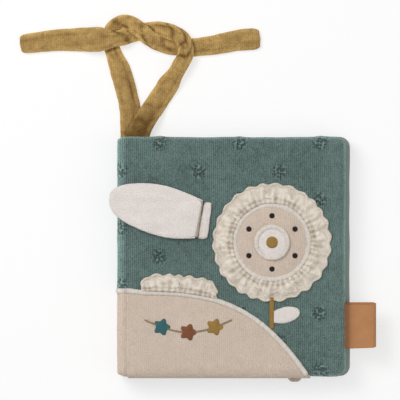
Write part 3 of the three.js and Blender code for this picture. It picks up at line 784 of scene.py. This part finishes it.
def stitched_cord(name, path, finish, width=CORD_WIDTH, height=CORD_HEIGHT, closed=False,
                  around=12, ends=0.02, across=None):
    """A low rounded cord along a path of scene points, closed on itself or with round ends. It
    lies flat, or as wide as given across."""
    along = len(path) - 1
    work = grid(along, around)
    for vert in work.verts:
        t, turn = vert.co.x + 0.5, vert.co.y + 0.5
        k = round(t * along)
        if closed:
            ahead = path[(k + 1) % along] - path[(k - 1) % along]
            base = path[k % along]
        else:
            ahead = path[min(k + 1, along)] - path[max(k - 1, 0)]
            base = path[k]
        side = across or ahead.cross(UP).normalized()
        lift = side.cross(ahead).normalized()
        full = 1.0 if closed else rounded_end(t, ends)
        angle = 2 * math.pi * turn
        uneven = 1 + 0.1 * noise.noise(base / MM * 0.9)
        vert.co = (base + side * math.cos(angle) * width / 2 * MM * full * uneven
                   + lift * math.sin(angle) * height / 2 * MM * full * uneven)
    return piece(name, work, finish)


def satin(name, colour, length, spacing=0.5, depth=0.00025):
    """Satin stitches set so that a cord of that length shows one every spacing."""
    return thread(name, colour, round(length / spacing), 1.2, depth, 0.7)


SATIN_WHITE = linear(247, 238, 227)
EDGE_INSET = 0.9
SPINE_EDGE_LEVEL = 21.1
edge_run = [Vector((-64.0, BEIGE_TOP)), Vector((-61.5, BEIGE_TOP - 0.2))]
for k in range(2, HILL_STEPS + 1, 2):
    ahead = bezier_ahead(HILL_CURVE, k / HILL_STEPS)
    edge_run.append(hill_line[k] + Vector((ahead.y, -ahead.x)) * EDGE_INSET)
edge_run += [edge_run[-1] + hill_foot * 3, edge_run[-1] + hill_foot * 5.6]
points = []
for p in edge_run:
    height = top_at(p.x, p.y, PATCH_LIFT + 0.25)
    if p.x < -60:
        height = max(height, SPINE_EDGE_LEVEL)
    points.append(Vector((p.x, p.y, height)) * MM)
path = route_through(points, 300)
hill_edge = stitched_cord("hill_edge", path,
                          satin("hill_edge_thread", SATIN_WHITE, path_length(path)))
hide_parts("hill_corded_edge")
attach(hill_edge, "front_cover")

CORD_STAND = 0.35
SPINE_CORDS = (
    ("front", [(x - CORD_STAND, z + 0.3) for x, z in FRONT_FOLD[:9]]),
    ("wall", [(x - CORD_STAND, z) for x, z in SPINE_WALL]),
    ("back", [(x - CORD_STAND, max(z, 0.55)) for x, z in BACK_FOLD[:6]]),
)
for part, places in SPINE_CORDS:
    path = route_through([Vector((x, BEIGE_TOP, z)) * MM for x, z in places], 40)
    made = stitched_cord(f"spine_edge_{part}", path,
                         satin(f"spine_edge_{part}_thread", SATIN_WHITE, path_length(path)),
                         height=1.0, across=Vector((0, 1, 0)))
    if part == "front":
        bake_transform(made)
    elif part == "back":
        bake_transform(made)
    else:
        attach(made, "spine_and_page")


# Flower: a round patch of beige velour over a thin padding, with a white one sewn on its middle.
# Both have satin-stitched corded edges. The seeds are embroidered, and the stem is a corded line.
white_velour = velour("white_velour", linear(234, 225, 220), rib=0.3, contrast=0.26, sheen=0.1,
                      shade_and_tone_tint=(0.68, 0.76, 0.86))
BLOOM_MIDDLE = (16.275, 9.55)
BLOOM_RADIUS, MIDDLE_RADIUS = 22.0, 10.0


def round_sheet(name, middle, radius, steps, height, finish):
    """A round sheet; height(x, y) gives its place."""
    work = grid(steps, steps)
    for vert in work.verts:
        a, b = on_disc(2 * vert.co.x, 2 * vert.co.y)
        x, y = middle[0] + radius * a, middle[1] + radius * b
        vert.co = Vector((x, y, height(x, y))) * MM
    made = piece(name, work, finish)
    thicken(made, CLOTH, UP)
    return made


def from_middle(x, y):
    return math.hypot(x - BLOOM_MIDDLE[0], y - BLOOM_MIDDLE[1])


def bloom_height(x, y):
    puff = 1 - min(from_middle(x, y) / BLOOM_RADIUS, 1.0) ** 7
    dent = 0.3 * wobble(x * 0.11, y * 0.11, 3.0)
    return top_at(x, y, 1.0) + 1.9 * puff + dent * puff


def middle_height(x, y):
    puff = 1 - min(from_middle(x, y) / MIDDLE_RADIUS, 1.0) ** 5
    dent = 0.25 * wobble(x * 0.14, y * 0.14, 8.0)
    return bloom_height(x, y) + 0.4 + 1.3 * puff + dent * puff


for name, radius, height, steps, finish, slot, under in (
        ("bloom", BLOOM_RADIUS, bloom_height, 72, beige_velour, "beige_velour",
         "front_cover_velour"),
        ("middle", MIDDLE_RADIUS, middle_height, 44, white_velour, "white_velour", "bloom_patch")):
    made = round_sheet(name + "_cloth", BLOOM_MIDDLE, radius, steps, height, finish)
    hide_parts(name + "_patch")
    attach(made, "front_cover")
    path = []
    for k in range(181):
        angle = 2 * math.pi * k / 180
        x = BLOOM_MIDDLE[0] + (radius - CORD_WIDTH / 2) * math.cos(angle)
        y = BLOOM_MIDDLE[1] + (radius - CORD_WIDTH / 2) * math.sin(angle)
        path.append(Vector((x, y, height(x, y) + 0.15)) * MM)
    made = stitched_cord(name + "_edge", path,
                         satin(name + "_edge_thread", SATIN_WHITE, path_length(path)),
                         closed=True)
    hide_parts(name + "_corded_edge")
    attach(made, "front_cover")


STITCH_BACKING = 0.3
STITCH_SINK = 0.2


def embroidery(name, middle, radius, height, rise, finish, node_name, slot, lobe=0.0, lobes=0):
    """A low dome of satin stitches over a round, or over a flower with that many petals."""
    work = grid(26, 26)
    for vert in work.verts:
        a, b = on_disc(2 * vert.co.x, 2 * vert.co.y)
        r = math.hypot(a, b)
        grow = 1 + lobe * math.cos(lobes * math.atan2(b, a)) * r * r
        x, y = middle[0] + radius * a * grow, middle[1] + radius * b * grow
        above = (rise + STITCH_SINK) * math.sqrt(max(0.0, 1 - r ** 3)) - STITCH_SINK
        vert.co = Vector((x, y, height(x, y) + above)) * MM
    made = piece(name, work, finish)
    thicken(made, STITCH_BACKING, UP, "backing")
    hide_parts(node_name)
    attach(made, "front_cover")


OCHRE_THREAD = linear(170, 134, 68)
SEED_COUNT = 6
SEED_RING, SEED_RADIUS, SEED_RISE = 14.8, 1.6, 0.6
MIDDLE_SEED_RADIUS, MIDDLE_SEED_RISE = 3.4, 0.7
seed_thread = thread("seed_thread", linear(36, 26, 26), threads=9.0, slant=3.0, depth=0.00018,
                     roughness=0.5)
middle_thread = thread("middle_thread", OCHRE_THREAD, threads=15.0, slant=3.0, depth=0.0002)
embroidery("middle_seed_stitches", BLOOM_MIDDLE, MIDDLE_SEED_RADIUS, middle_height,
           MIDDLE_SEED_RISE, middle_thread, "middle_seed", "ochre_thread")
for k in range(SEED_COUNT):
    angle = 2 * math.pi * k / SEED_COUNT
    place = (BLOOM_MIDDLE[0] + SEED_RING * math.sin(angle),
             BLOOM_MIDDLE[1] + SEED_RING * math.cos(angle))
    embroidery(f"seed_{k + 1}_stitches", place, SEED_RADIUS, bloom_height, SEED_RISE, seed_thread,
               f"seed_{k + 1}", "dark_thread")

FRILL_WIDTH = 10.5
STEM_UNDER_FRILL, STEM_FOOT, STEM_RISE = 2.0, -38.6, 0.45
stem_top = BLOOM_MIDDLE[1] - BLOOM_RADIUS - FRILL_WIDTH + STEM_UNDER_FRILL
points = []
for k in range(7):
    y = stem_top + (STEM_FOOT - stem_top) * k / 6
    points.append(Vector((BLOOM_MIDDLE[0], y, top_at(BLOOM_MIDDLE[0], y, STEM_RISE))) * MM)
path = route_through(points, 60)
stem = stitched_cord("stem_cord", path, satin("stem_thread", OCHRE_THREAD, path_length(path)),
                     ends=0.07)
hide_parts("flower_stem")
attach(stem, "front_cover")


# Frills: thin cream cloth gathered along its inner edge, with a wavy overlocked outer edge. One
# makes the flower's petals and the other stands along the top of the hill.
frill_cloth = cloth("frill_cloth", linear(238, 227, 212), scale=210.0, crease=1.0, depth=0.0007)
FRILL_WALL = 0.55
FRILL_LOWEST = 17.5
OVERLOCK_WIDTH, OVERLOCK_HEIGHT = 1.3, 1.1
GATHER_SHARE = 0.24


def frill(name, node_name, place, width, scallops, root_lift, seed, closed=False):
    """A frill along a path; place(t) gives the root and the way out of it. A closed one is a ring."""
    along, across = scallops * 16, 18
    reach = scallops * 0.35 / math.pi

    def wander(t, s, pace, shift):
        """Smooth noise along the frill, which meets itself where the frill is a ring."""
        if not closed:
            return wobble(t * scallops * pace, s, seed + shift)
        turn = 2 * math.pi * t
        circle = pace * reach * 1.43
        return wobble(circle * math.cos(turn), circle * math.sin(turn), s + seed + shift)

    def at(t, s):
        """The point at a share of the length and of the width, and its shade."""
        moved = t + 0.22 * wander(t, s * 0.8, 0.6, 0) / scallops * s
        (x, y), out = place(moved if closed else min(max(moved, 0.0), 1.0))
        ripple = math.sin(2 * math.pi * scallops * t + 1.5 * wander(t, 0.0, 0.35, 1))
        pleat = math.sin(2 * math.pi * scallops * 2 * t + 4.0 * wander(t, s * 0.9, 0.5, 2))
        crumple = wander(t, s * 3.0, 1.5, 3)
        soft = wander(t, s * 1.2, 0.7, 7)
        end = 1.0 if closed else min(1.0, 0.3 + math.sqrt(min(t, 1 - t) * scallops / 2.2))
        far = s * end * (width + 0.55 * ripple + 0.5 * crumple * s)
        puff = math.sin(math.pi * min(s * 1.05 + 0.12, 1.0)) ** 0.8
        rise = root_lift * (1 - s) + 0.5 * s + 1.8 * puff * (1 + 0.45 * soft)
        rise += 0.5 * ripple * s * s + 0.3 * pleat * (1 - s) ** 0.6 * min(1.0, s * 7)
        rise += 0.9 * crumple * min(1.0, s * 4) * (1 - 0.4 * s)
        rise -= 0.9 * math.exp(-((s - GATHER_SHARE) / 0.045) ** 2)
        rise *= 0.4 + 0.6 * end
        x, y = x + out.x * far, y + out.y * far
        shade = 0.3 * pleat * (1 - s) + 0.55 * crumple - 0.5 * math.exp(-(s / 0.1) ** 2)
        shade -= 0.35 * math.exp(-((s - GATHER_SHARE) / 0.05) ** 2)
        shade -= 0.2 * math.exp(-((s - 0.9) / 0.05) ** 2)
        height = max(top_at(x, y, 0.35 + max(rise, 0.05)), FRILL_LOWEST)
        return Vector((x, y, height)) * MM, max(-0.55, min(shade * 0.75, 0.12))

    work = grid(along, across)
    marks = work.verts.layers.float.new("fold")
    for vert in work.verts:
        vert.co, vert[marks] = at(vert.co.x + 0.5, vert.co.y + 0.5)
    made = piece(name, work, frill_cloth)
    thicken(made, FRILL_WALL, UP)
    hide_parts(node_name)
    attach(made, "front_cover")
    rim_path = [at(k / along, 0.985)[0] for k in range(along + 1)]
    edge = stitched_cord(name + "_overlock", rim_path,
                         satin(name + "_thread", linear(240, 228, 213), path_length(rim_path),
                               spacing=0.6),
                         OVERLOCK_WIDTH, OVERLOCK_HEIGHT, closed=closed, around=10)
    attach(edge, "front_cover")


def petal_place(t):
    angle = math.radians(-90 - 360 * t)
    out = Vector((math.cos(angle), math.sin(angle)))
    inner = BLOOM_RADIUS - 0.6
    return (BLOOM_MIDDLE[0] + inner * out.x, BLOOM_MIDDLE[1] + inner * out.y), out


def hedge_place(t):
    share = 0.02 + 0.42 * t
    ahead = bezier_ahead(HILL_CURVE, share)
    out = Vector((-ahead.y, ahead.x))
    place = bezier(HILL_CURVE, share) - out * 0.3
    return (place.x, place.y), out


HEDGE_WIDTH = 9.2
frill("bloom_petals", "bloom_frill", petal_place, FRILL_WIDTH + 0.4, scallops=26, root_lift=1.3,
      seed=5.0, closed=True)
frill("hill_hedge", "hill_frill", hedge_place, HEDGE_WIDTH, scallops=7, root_lift=0.9,
      seed=15.0)


# Leaves: the loose one is two cloths sewn together and turned, folded over at a sewn root so that
# it swings. The other is sewn down flat all round beside the stem.
LEAF_LENGTH_SHARES = (0.0, 0.15, 0.37, 0.57, 0.81, 0.93, 0.98, 1.0)
LEAF_WIDTH_SHARES = (0.74, 0.87, 1.0, 0.97, 0.76, 0.52, 0.3, 0.0)
leaf_line = route_through([Vector((a, b, 0.0)) for a, b in
                          zip(LEAF_LENGTH_SHARES, LEAF_WIDTH_SHARES)], 400)


def leaf_width(t):
    for one, two in zip(leaf_line, leaf_line[1:]):
        if two.x >= t:
            share = (t - one.x) / max(two.x - one.x, 1e-9)
            return max(one.y + (two.y - one.y) * share, 0.0)
    return 0.0


LEAF_WALL = 0.5


def leaf_cloth(name, root, length, middle_y, half, rise, height, finish, side, inset=0.0,
               slant=0.0):
    """One cloth of a leaf; length is negative where it points to the spine, rise is how far its tip
    lies above its root, and slant how far its root's lower end runs out."""
    work = grid(72, 36)
    for vert in work.verts:
        t, s = vert.co.x + 0.5, 2 * vert.co.y
        t = 1 - (1 - t) ** 1.6
        wide = half * leaf_width(t) - inset * min(1.0, (1 - t) * 12)
        fuzz = 0.16 * wobble(t * 70, s * 2, side * 3.0) * abs(s) ** 4
        x = root + length * t + inset * t - slant * (1 - s) * (1 - t) ** 6
        y = middle_y + rise * t + s * (wide + fuzz)
        vert.co = Vector((x, y, height(x, y, t, s))) * MM
    made = piece(name, work, finish)
    thicken(made, LEAF_WALL, UP * side)
    return made


FLAP_ROOT, FLAP_LENGTH = -22.025, -52.45
FLAP_MIDDLE, FLAP_HALF_WIDTH, FLAP_RISE = 22.45, 14.3, 10.6
FLAP_HINGE = 23.34


def flap_height(side):
    def height(x, y, t, s):
        edge = (1 - abs(s) ** 3) ** 0.6 * min(1.0, (1 - t) * 6) ** 0.5
        edge *= 0.1 + 0.9 * min(1.0, t * 9) ** 0.7
        lie = 0.9 * math.sin(math.pi * min(t * 1.1, 1.0)) - 0.9 * t * t
        wave = 0.5 * wobble(x * 0.06, y * 0.09, 31.0)
        fold = 0.35 * wobble(x * 0.05 + y * 0.1, y * 0.3, 12.0) * edge
        thick = 0.1 + 0.95 * edge
        return FLAP_HINGE + lie + wave + side * thick + fold * (side > 0)
    return height


def flap_front_shade(place):
    """Lighter by the root, creamier at the tip, and a little brushed all over."""
    brushed = wobble(place.x * 0.11, place.y * 0.2, 3.0)
    return (0.03 * smooth_step(-40.0, -28.0, place.x) - 0.04 * smooth_step(-64.0, -73.0, place.x)
            + 0.07 * brushed)


def flap_back_shade(place):
    """The back lies in the shade of the root's fold."""
    return -0.4 * smooth_step(-30.0, -26.0, place.x)


for name, side, finish, node_name, slot, inset, past, slant in (
        ("leaf_flap_front_cloth", 1, white_velour, "leaf_flap_front", "white_velour", 0.0, 0.0,
         2.2),
        ("leaf_flap_back_cloth", -1, beige_velour, "leaf_flap_back", "beige_velour", 0.7, 0.1,
         1.5)):
    made = leaf_cloth(name, FLAP_ROOT + past, FLAP_LENGTH - past, FLAP_MIDDLE, FLAP_HALF_WIDTH,
                      FLAP_RISE, flap_height(side), finish, side, inset, slant)
    mark_shade_and_tone(made, flap_front_shade if side > 0 else flap_back_shade)
    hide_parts(node_name)
    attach(made, "leaf_flap")

STRIP_MIDDLE = (-20.85, 21.65)
STRIP_HALF_WIDTH, STRIP_HALF_LENGTH, STRIP_LEAN = 2.65, 10.2, 1.5
STRIP_LEVEL, STRIP_RISE = 21.9, 0.95


def block(cuts):
    """A cube of side 1 with its faces cut into a grid."""
    work = bmesh.new()
    bmesh.ops.create_cube(work, size=1.0)
    bmesh.ops.subdivide_edges(work, edges=work.edges[:], cuts=cuts, use_grid_fill=True)
    return work


def strip_shade(place):
    """Darker low down, and along the side where the flap's root lies over it."""
    lean = STRIP_LEAN * (place.y - STRIP_MIDDLE[1]) / STRIP_HALF_LENGTH
    from_middle_line = place.x - STRIP_MIDDLE[0] - lean
    uneven = 0.12 * wobble(place.x * 0.9, place.y * 0.35, 8.0)
    return (uneven - 0.04 - 0.35 * (1 - smooth_step(21.7, 22.7, place.z))
            - 0.2 * (1 - smooth_step(-2.6, -0.4, from_middle_line)))


work = block(14)
for vert in work.verts:
    a, b, c = vert.co * 2
    squeeze = math.sqrt(max(0.0, 1 - a * a * 0.55)) * math.sqrt(max(0.0, 1 - b ** 6 * 0.5))
    dent = 1 + 0.3 * wobble(a * 1.5, b * 4, 2.0)
    uneven = 0.35 * wobble(b * 3, 1.0 + a, 4.0)
    half = (STRIP_HALF_WIDTH - 0.25 * b) * math.sqrt(1 - 0.2 * c * c) * (1 - 0.1 * b ** 4)
    x = STRIP_MIDDLE[0] + STRIP_LEAN * b + half * a + uneven
    y = STRIP_MIDDLE[1] + STRIP_HALF_LENGTH * b * math.sqrt(1 - 0.1 * a * a)
    vert.co = Vector((x, y, STRIP_LEVEL + min(c * squeeze * dent, STRIP_RISE))) * MM
root_strip = piece("leaf_root_cloth", work, white_velour)
mark_shade_and_tone(root_strip, strip_shade)
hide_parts("leaf_root_strip")
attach(root_strip, "front_cover")


def sewn_height(x, y, t, s):
    edge = math.sqrt(max(0.0, 1 - abs(s) ** 4)) * min(1.0, (1 - t) * 6) ** 0.5
    return top_at(x, y, 0.35) + 1.1 * edge


SEWN_ROOT, SEWN_LENGTH = 17.4, 14.4
SEWN_MIDDLE, SEWN_HALF_WIDTH, SEWN_RISE = -31.95, 4.6, 2.4
sewn_leaf = leaf_cloth("leaf_sewn_cloth", SEWN_ROOT, SEWN_LENGTH, SEWN_MIDDLE, SEWN_HALF_WIDTH,
                       SEWN_RISE, sewn_height, white_velour, 1)
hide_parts("leaf_sewn")
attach(sewn_leaf, "front_cover")


# Garland: one thick thread sewn down in a shallow curve across the hill, with three small flowers
# embroidered over it in satin stitch.
GARLAND_START = (-54.725, -33.45)
GARLAND_SPAN, GARLAND_SAG, GARLAND_RISE = 49.0, 7.0, 0.3
GARLAND_WIDTH, GARLAND_HEIGHT = 0.9, 0.8
FLOWER_RADIUS, FLOWER_RISE = 4.2, 1.0
PETAL_DEPTH, PETAL_COUNT = 0.19, 5


def on_hill(x, y, lift=0.0):
    return top_at(x, y, PATCH_LIFT + lift)


def garland_at(share):
    return (GARLAND_START[0] + GARLAND_SPAN * share,
            GARLAND_START[1] - GARLAND_SAG * math.sin(math.pi * share))


places = [garland_at(k / 12) for k in range(13)]
path = route_through([Vector((x, y, on_hill(x, y, GARLAND_RISE))) * MM for x, y in places], 140)
garland = stitched_cord("garland_stitches", path,
                        satin("garland_thread_paint", linear(150, 128, 96), length=55.0,
                              spacing=1.3, depth=0.0002),
                        GARLAND_WIDTH, GARLAND_HEIGHT)
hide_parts("garland_thread")
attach(garland, "front_cover")
for name, share, colour, slot in (
        ("garland_flower_teal", 0.2, linear(60, 112, 116), "teal_thread"),
        ("garland_flower_rust", 0.5, linear(142, 88, 58), "rust_thread"),
        ("garland_flower_ochre", 0.8, OCHRE_THREAD, "ochre_thread")):
    embroidery(name + "_stitches", garland_at(share), FLOWER_RADIUS, on_hill, FLOWER_RISE,
               thread(name + "_paint", colour, threads=15.0, slant=3.5, depth=0.00025), name, slot,
               PETAL_DEPTH, PETAL_COUNT)


# Label: a strip of tan leather folded back on itself, with both ends sewn into the front cover's
# seam, so that its fold stands out past the fore edge.
def make_grain():
    """Smooth leather: small pores, a fine grain and a faint cloudiness."""
    tree, given, out = effect("leather_grain", outputs=("Roughness",))
    place = given.outputs["Vector"]
    grain = node(tree, "TexVoronoi", {"Vector": place, "Scale": 1500.0}).outputs["Distance"]
    cloud, pores = clouds(tree, place, 160.0, 4.0), clouds(tree, place, 3000.0, 1.0)
    put_out(tree, given, out, weighted(tree, 0.82, (cloud, 0.3), (grain, 0.08)),
            weighted(tree, grain, (pores, 0.4)))
    tree.links.new(weighted(tree, 0.42, (cloud, 0.25)), out.inputs[2])
    return tree


def leather(name, colour):
    made, tree, shader, where = material(name, 0.5)
    grained = node(tree, "Group", {"Vector": where.outputs["Object"], "Colour": colour},
                   node_tree=make_grain())
    toned = toned_by_shade_marks(tree, grained.outputs["Colour"], (0.85, 0.95, 1.0))
    tree.links.new(toned, shader.inputs["Base Color"])
    tree.links.new(grained.outputs["Roughness"], shader.inputs["Roughness"])
    bump(tree, shader, grained.outputs["Height"], 0.00012)
    return made


tan_leather = leather("tan_leather", linear(184, 130, 84))
LABEL_LOW, LABEL_WIDTH = -49.75, 24.6
LABEL_SEAM, LABEL_TIP = 58.0, 74.0
LABEL_WALL, LABEL_BEVEL = 0.9, 0.22
LABEL_UNDER_SHIFT = 1.25
LABEL_LINE = [(56.4, 16.75), (60.0, 16.3), (66.0, 16.1), (71.6, 16.2), (73.5, 16.7), (74.0, 17.4),
              (73.4, 18.15), (71.5, 18.55), (66.0, 18.4), (60.0, 18.2), (56.4, 17.8)]


def label_shade(place):
    """Darker in the seam, and a little at the fold."""
    return (0.03 - 0.62 * math.exp(-max(place.x - LABEL_SEAM - 1.0, 0.0) / 1.6)
            - 0.12 * smooth_step(LABEL_TIP - 2.0, LABEL_TIP + 0.5, place.x))


line = route_through([Vector((x, 0.0, z)) for x, z in LABEL_LINE], 90)
work = grid(90, 30)
for vert in work.verts:
    t, s = vert.co.x + 0.5, vert.co.y + 0.5
    base = line[round(t * 90)]
    under = 1 - smooth_step(0.44, 0.56, t)
    y = LABEL_LOW + LABEL_WIDTH * s + LABEL_UNDER_SHIFT * under
    out = min(max((base.x - LABEL_SEAM) / (LABEL_TIP - LABEL_SEAM), 0.0), 1.0)
    y += 0.5 * out * (0.5 - s) + 0.3 * out
    cup = 0.35 * (1 - under) * out * (abs(2 * s - 1) ** 2)
    vert.co = Vector((base.x, y, base.z + cup)) * MM
label = piece("label_leather_loop", work, tan_leather)
mark_shade_and_tone(label, label_shade)
wall = label.modifiers.new("leather", "SOLIDIFY")
wall.thickness, wall.offset = LABEL_WALL * MM, 0.0
wall.use_even_offset = True
bevel = label.modifiers.new("edges", "BEVEL")
bevel.width, bevel.segments, bevel.limit_method = LABEL_BEVEL * MM, 2, "ANGLE"
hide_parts("label_loop")
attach(label, "front_cover")


# Tab: a small scrap of beige velour, with the raw back of the cloth under it, sewn into the page's
# bottom seam so that its rounded end shows.
raw_cloth = cloth("raw_cloth", linear(150, 118, 88), scale=400.0, crease=0.6, depth=0.0003)
TAB_MIDDLE, TAB_ROOT, TAB_LEVEL = 29.275, -65.2, 10.3
TAB_HALF_WIDTH, TAB_REACH, TAB_HALF_THICKNESS = 3.9, 3.35, 0.8
work = block(10)
for vert in work.verts:
    a, b, c = vert.co * 2
    reach = (1 - b) / 2
    half = TAB_HALF_WIDTH * math.sqrt(max(0.0, 1 - (reach * 0.93) ** 2.6))
    x = TAB_MIDDLE + half * a * math.sqrt(1 - 0.15 * c * c)
    y = TAB_ROOT - TAB_REACH * reach
    thick = TAB_HALF_THICKNESS * c * math.sqrt(1 - 0.35 * a * a) * (1 - 0.25 * reach)
    vert.co = Vector((x, y, TAB_LEVEL + thick)) * MM
for face in work.faces:
    face.material_index = int(face.normal.z < -0.4)
tab = piece("page_tab_cloth", work, beige_velour, raw_cloth)
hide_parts("page_tab")
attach(tab, "spine_and_page")


# Filling: crackling film and wadding inside each panel, and the tape that holds the page. They
# keep their solids and get their own finishes.
film = cloth("crinkle_film", linear(217, 221, 224), scale=180.0, crease=1.4, depth=0.0006,
             roughness=0.3, sheen=0.0)
wadding = cloth("wadding", linear(242, 240, 234), scale=140.0, crease=1.2, depth=0.0012)
for name, made in nodes.items():
    finish = film if name.endswith("_film") else wadding if name.endswith("_wadding") else None
    if name == "page_root_tape":
        finish = lining_cloth
    if finish:
        made.data.materials.clear()
        made.data.materials.append(finish)


# Room: a plain pale floor that glows a little, so that its shadows stay soft, a white background
# and three large soft lights.
FLOOR_SIZE, FLOOR_LEVEL = 4, -0.0002
FLOOR_GREY, FLOOR_GLOW = (0.42, 0.42, 0.42, 1.0), 0.598
ROOM_LIGHT = 0.32
LIT_PLACE = Vector((-0.02, 0.03, 0.0))
PLAIN_WHITE = (1.0, 1.0, 1.0, 1.0)


def area_light(name, place, size, power_watts):
    data = bpy.data.lights.new(name, "AREA")
    data.shape, data.size, data.energy = "SQUARE", size, power_watts
    made = bpy.data.objects.new(name, data)
    made.location = place
    made.rotation_euler = (LIT_PLACE - Vector(place)).to_track_quat("-Z", "Y").to_euler()
    scene.collection.objects.link(made)


area_light("key_light", (-0.5, 0.45, 0.9), size=0.5, power_watts=5.6)
area_light("fill_light", (0.7, -0.2, 0.8), size=0.8, power_watts=1.6)
area_light("top_light", (0.0, 0.0, 1.4), size=1.0, power_watts=3.4)

work = grid(1, 1)
for vert in work.verts:
    vert.co = Vector((vert.co.x * FLOOR_SIZE, vert.co.y * FLOOR_SIZE, FLOOR_LEVEL))
floor_paint, tree, shader, where = material("floor", 0.9)
tree.nodes.remove(shader)
output = tree.nodes["Material Output"]
diffuse = node(tree, "BsdfDiffuse", {"Color": FLOOR_GREY})
glow = node(tree, "Emission", {"Color": PLAIN_WHITE, "Strength": FLOOR_GLOW})
both = node(tree, "AddShader", {0: diffuse.outputs[0], 1: glow.outputs[0]})
tree.links.new(both.outputs[0], output.inputs[0])
floor = piece("floor", work, floor_paint)
if floor.data.polygons[0].normal.z < 0:
    floor.data.flip_normals()

world = bpy.data.worlds.new("room")
world.use_nodes = True
scene.world = world
tree = world.node_tree
paths = tree.nodes.new("ShaderNodeLightPath")
seen = maths(tree, "MAXIMUM", paths.outputs["Is Camera Ray"], paths.outputs["Is Transmission Ray"])
light = node(tree, "Background", {"Color": PLAIN_WHITE, "Strength": ROOM_LIGHT})
white = node(tree, "Background", {"Color": PLAIN_WHITE, "Strength": 1.0})
mixed = node(tree, "MixShader", {0: seen, 1: light.outputs[0], 2: white.outputs[0]})
tree.links.new(mixed.outputs[0], tree.nodes["World Output"].inputs[0])
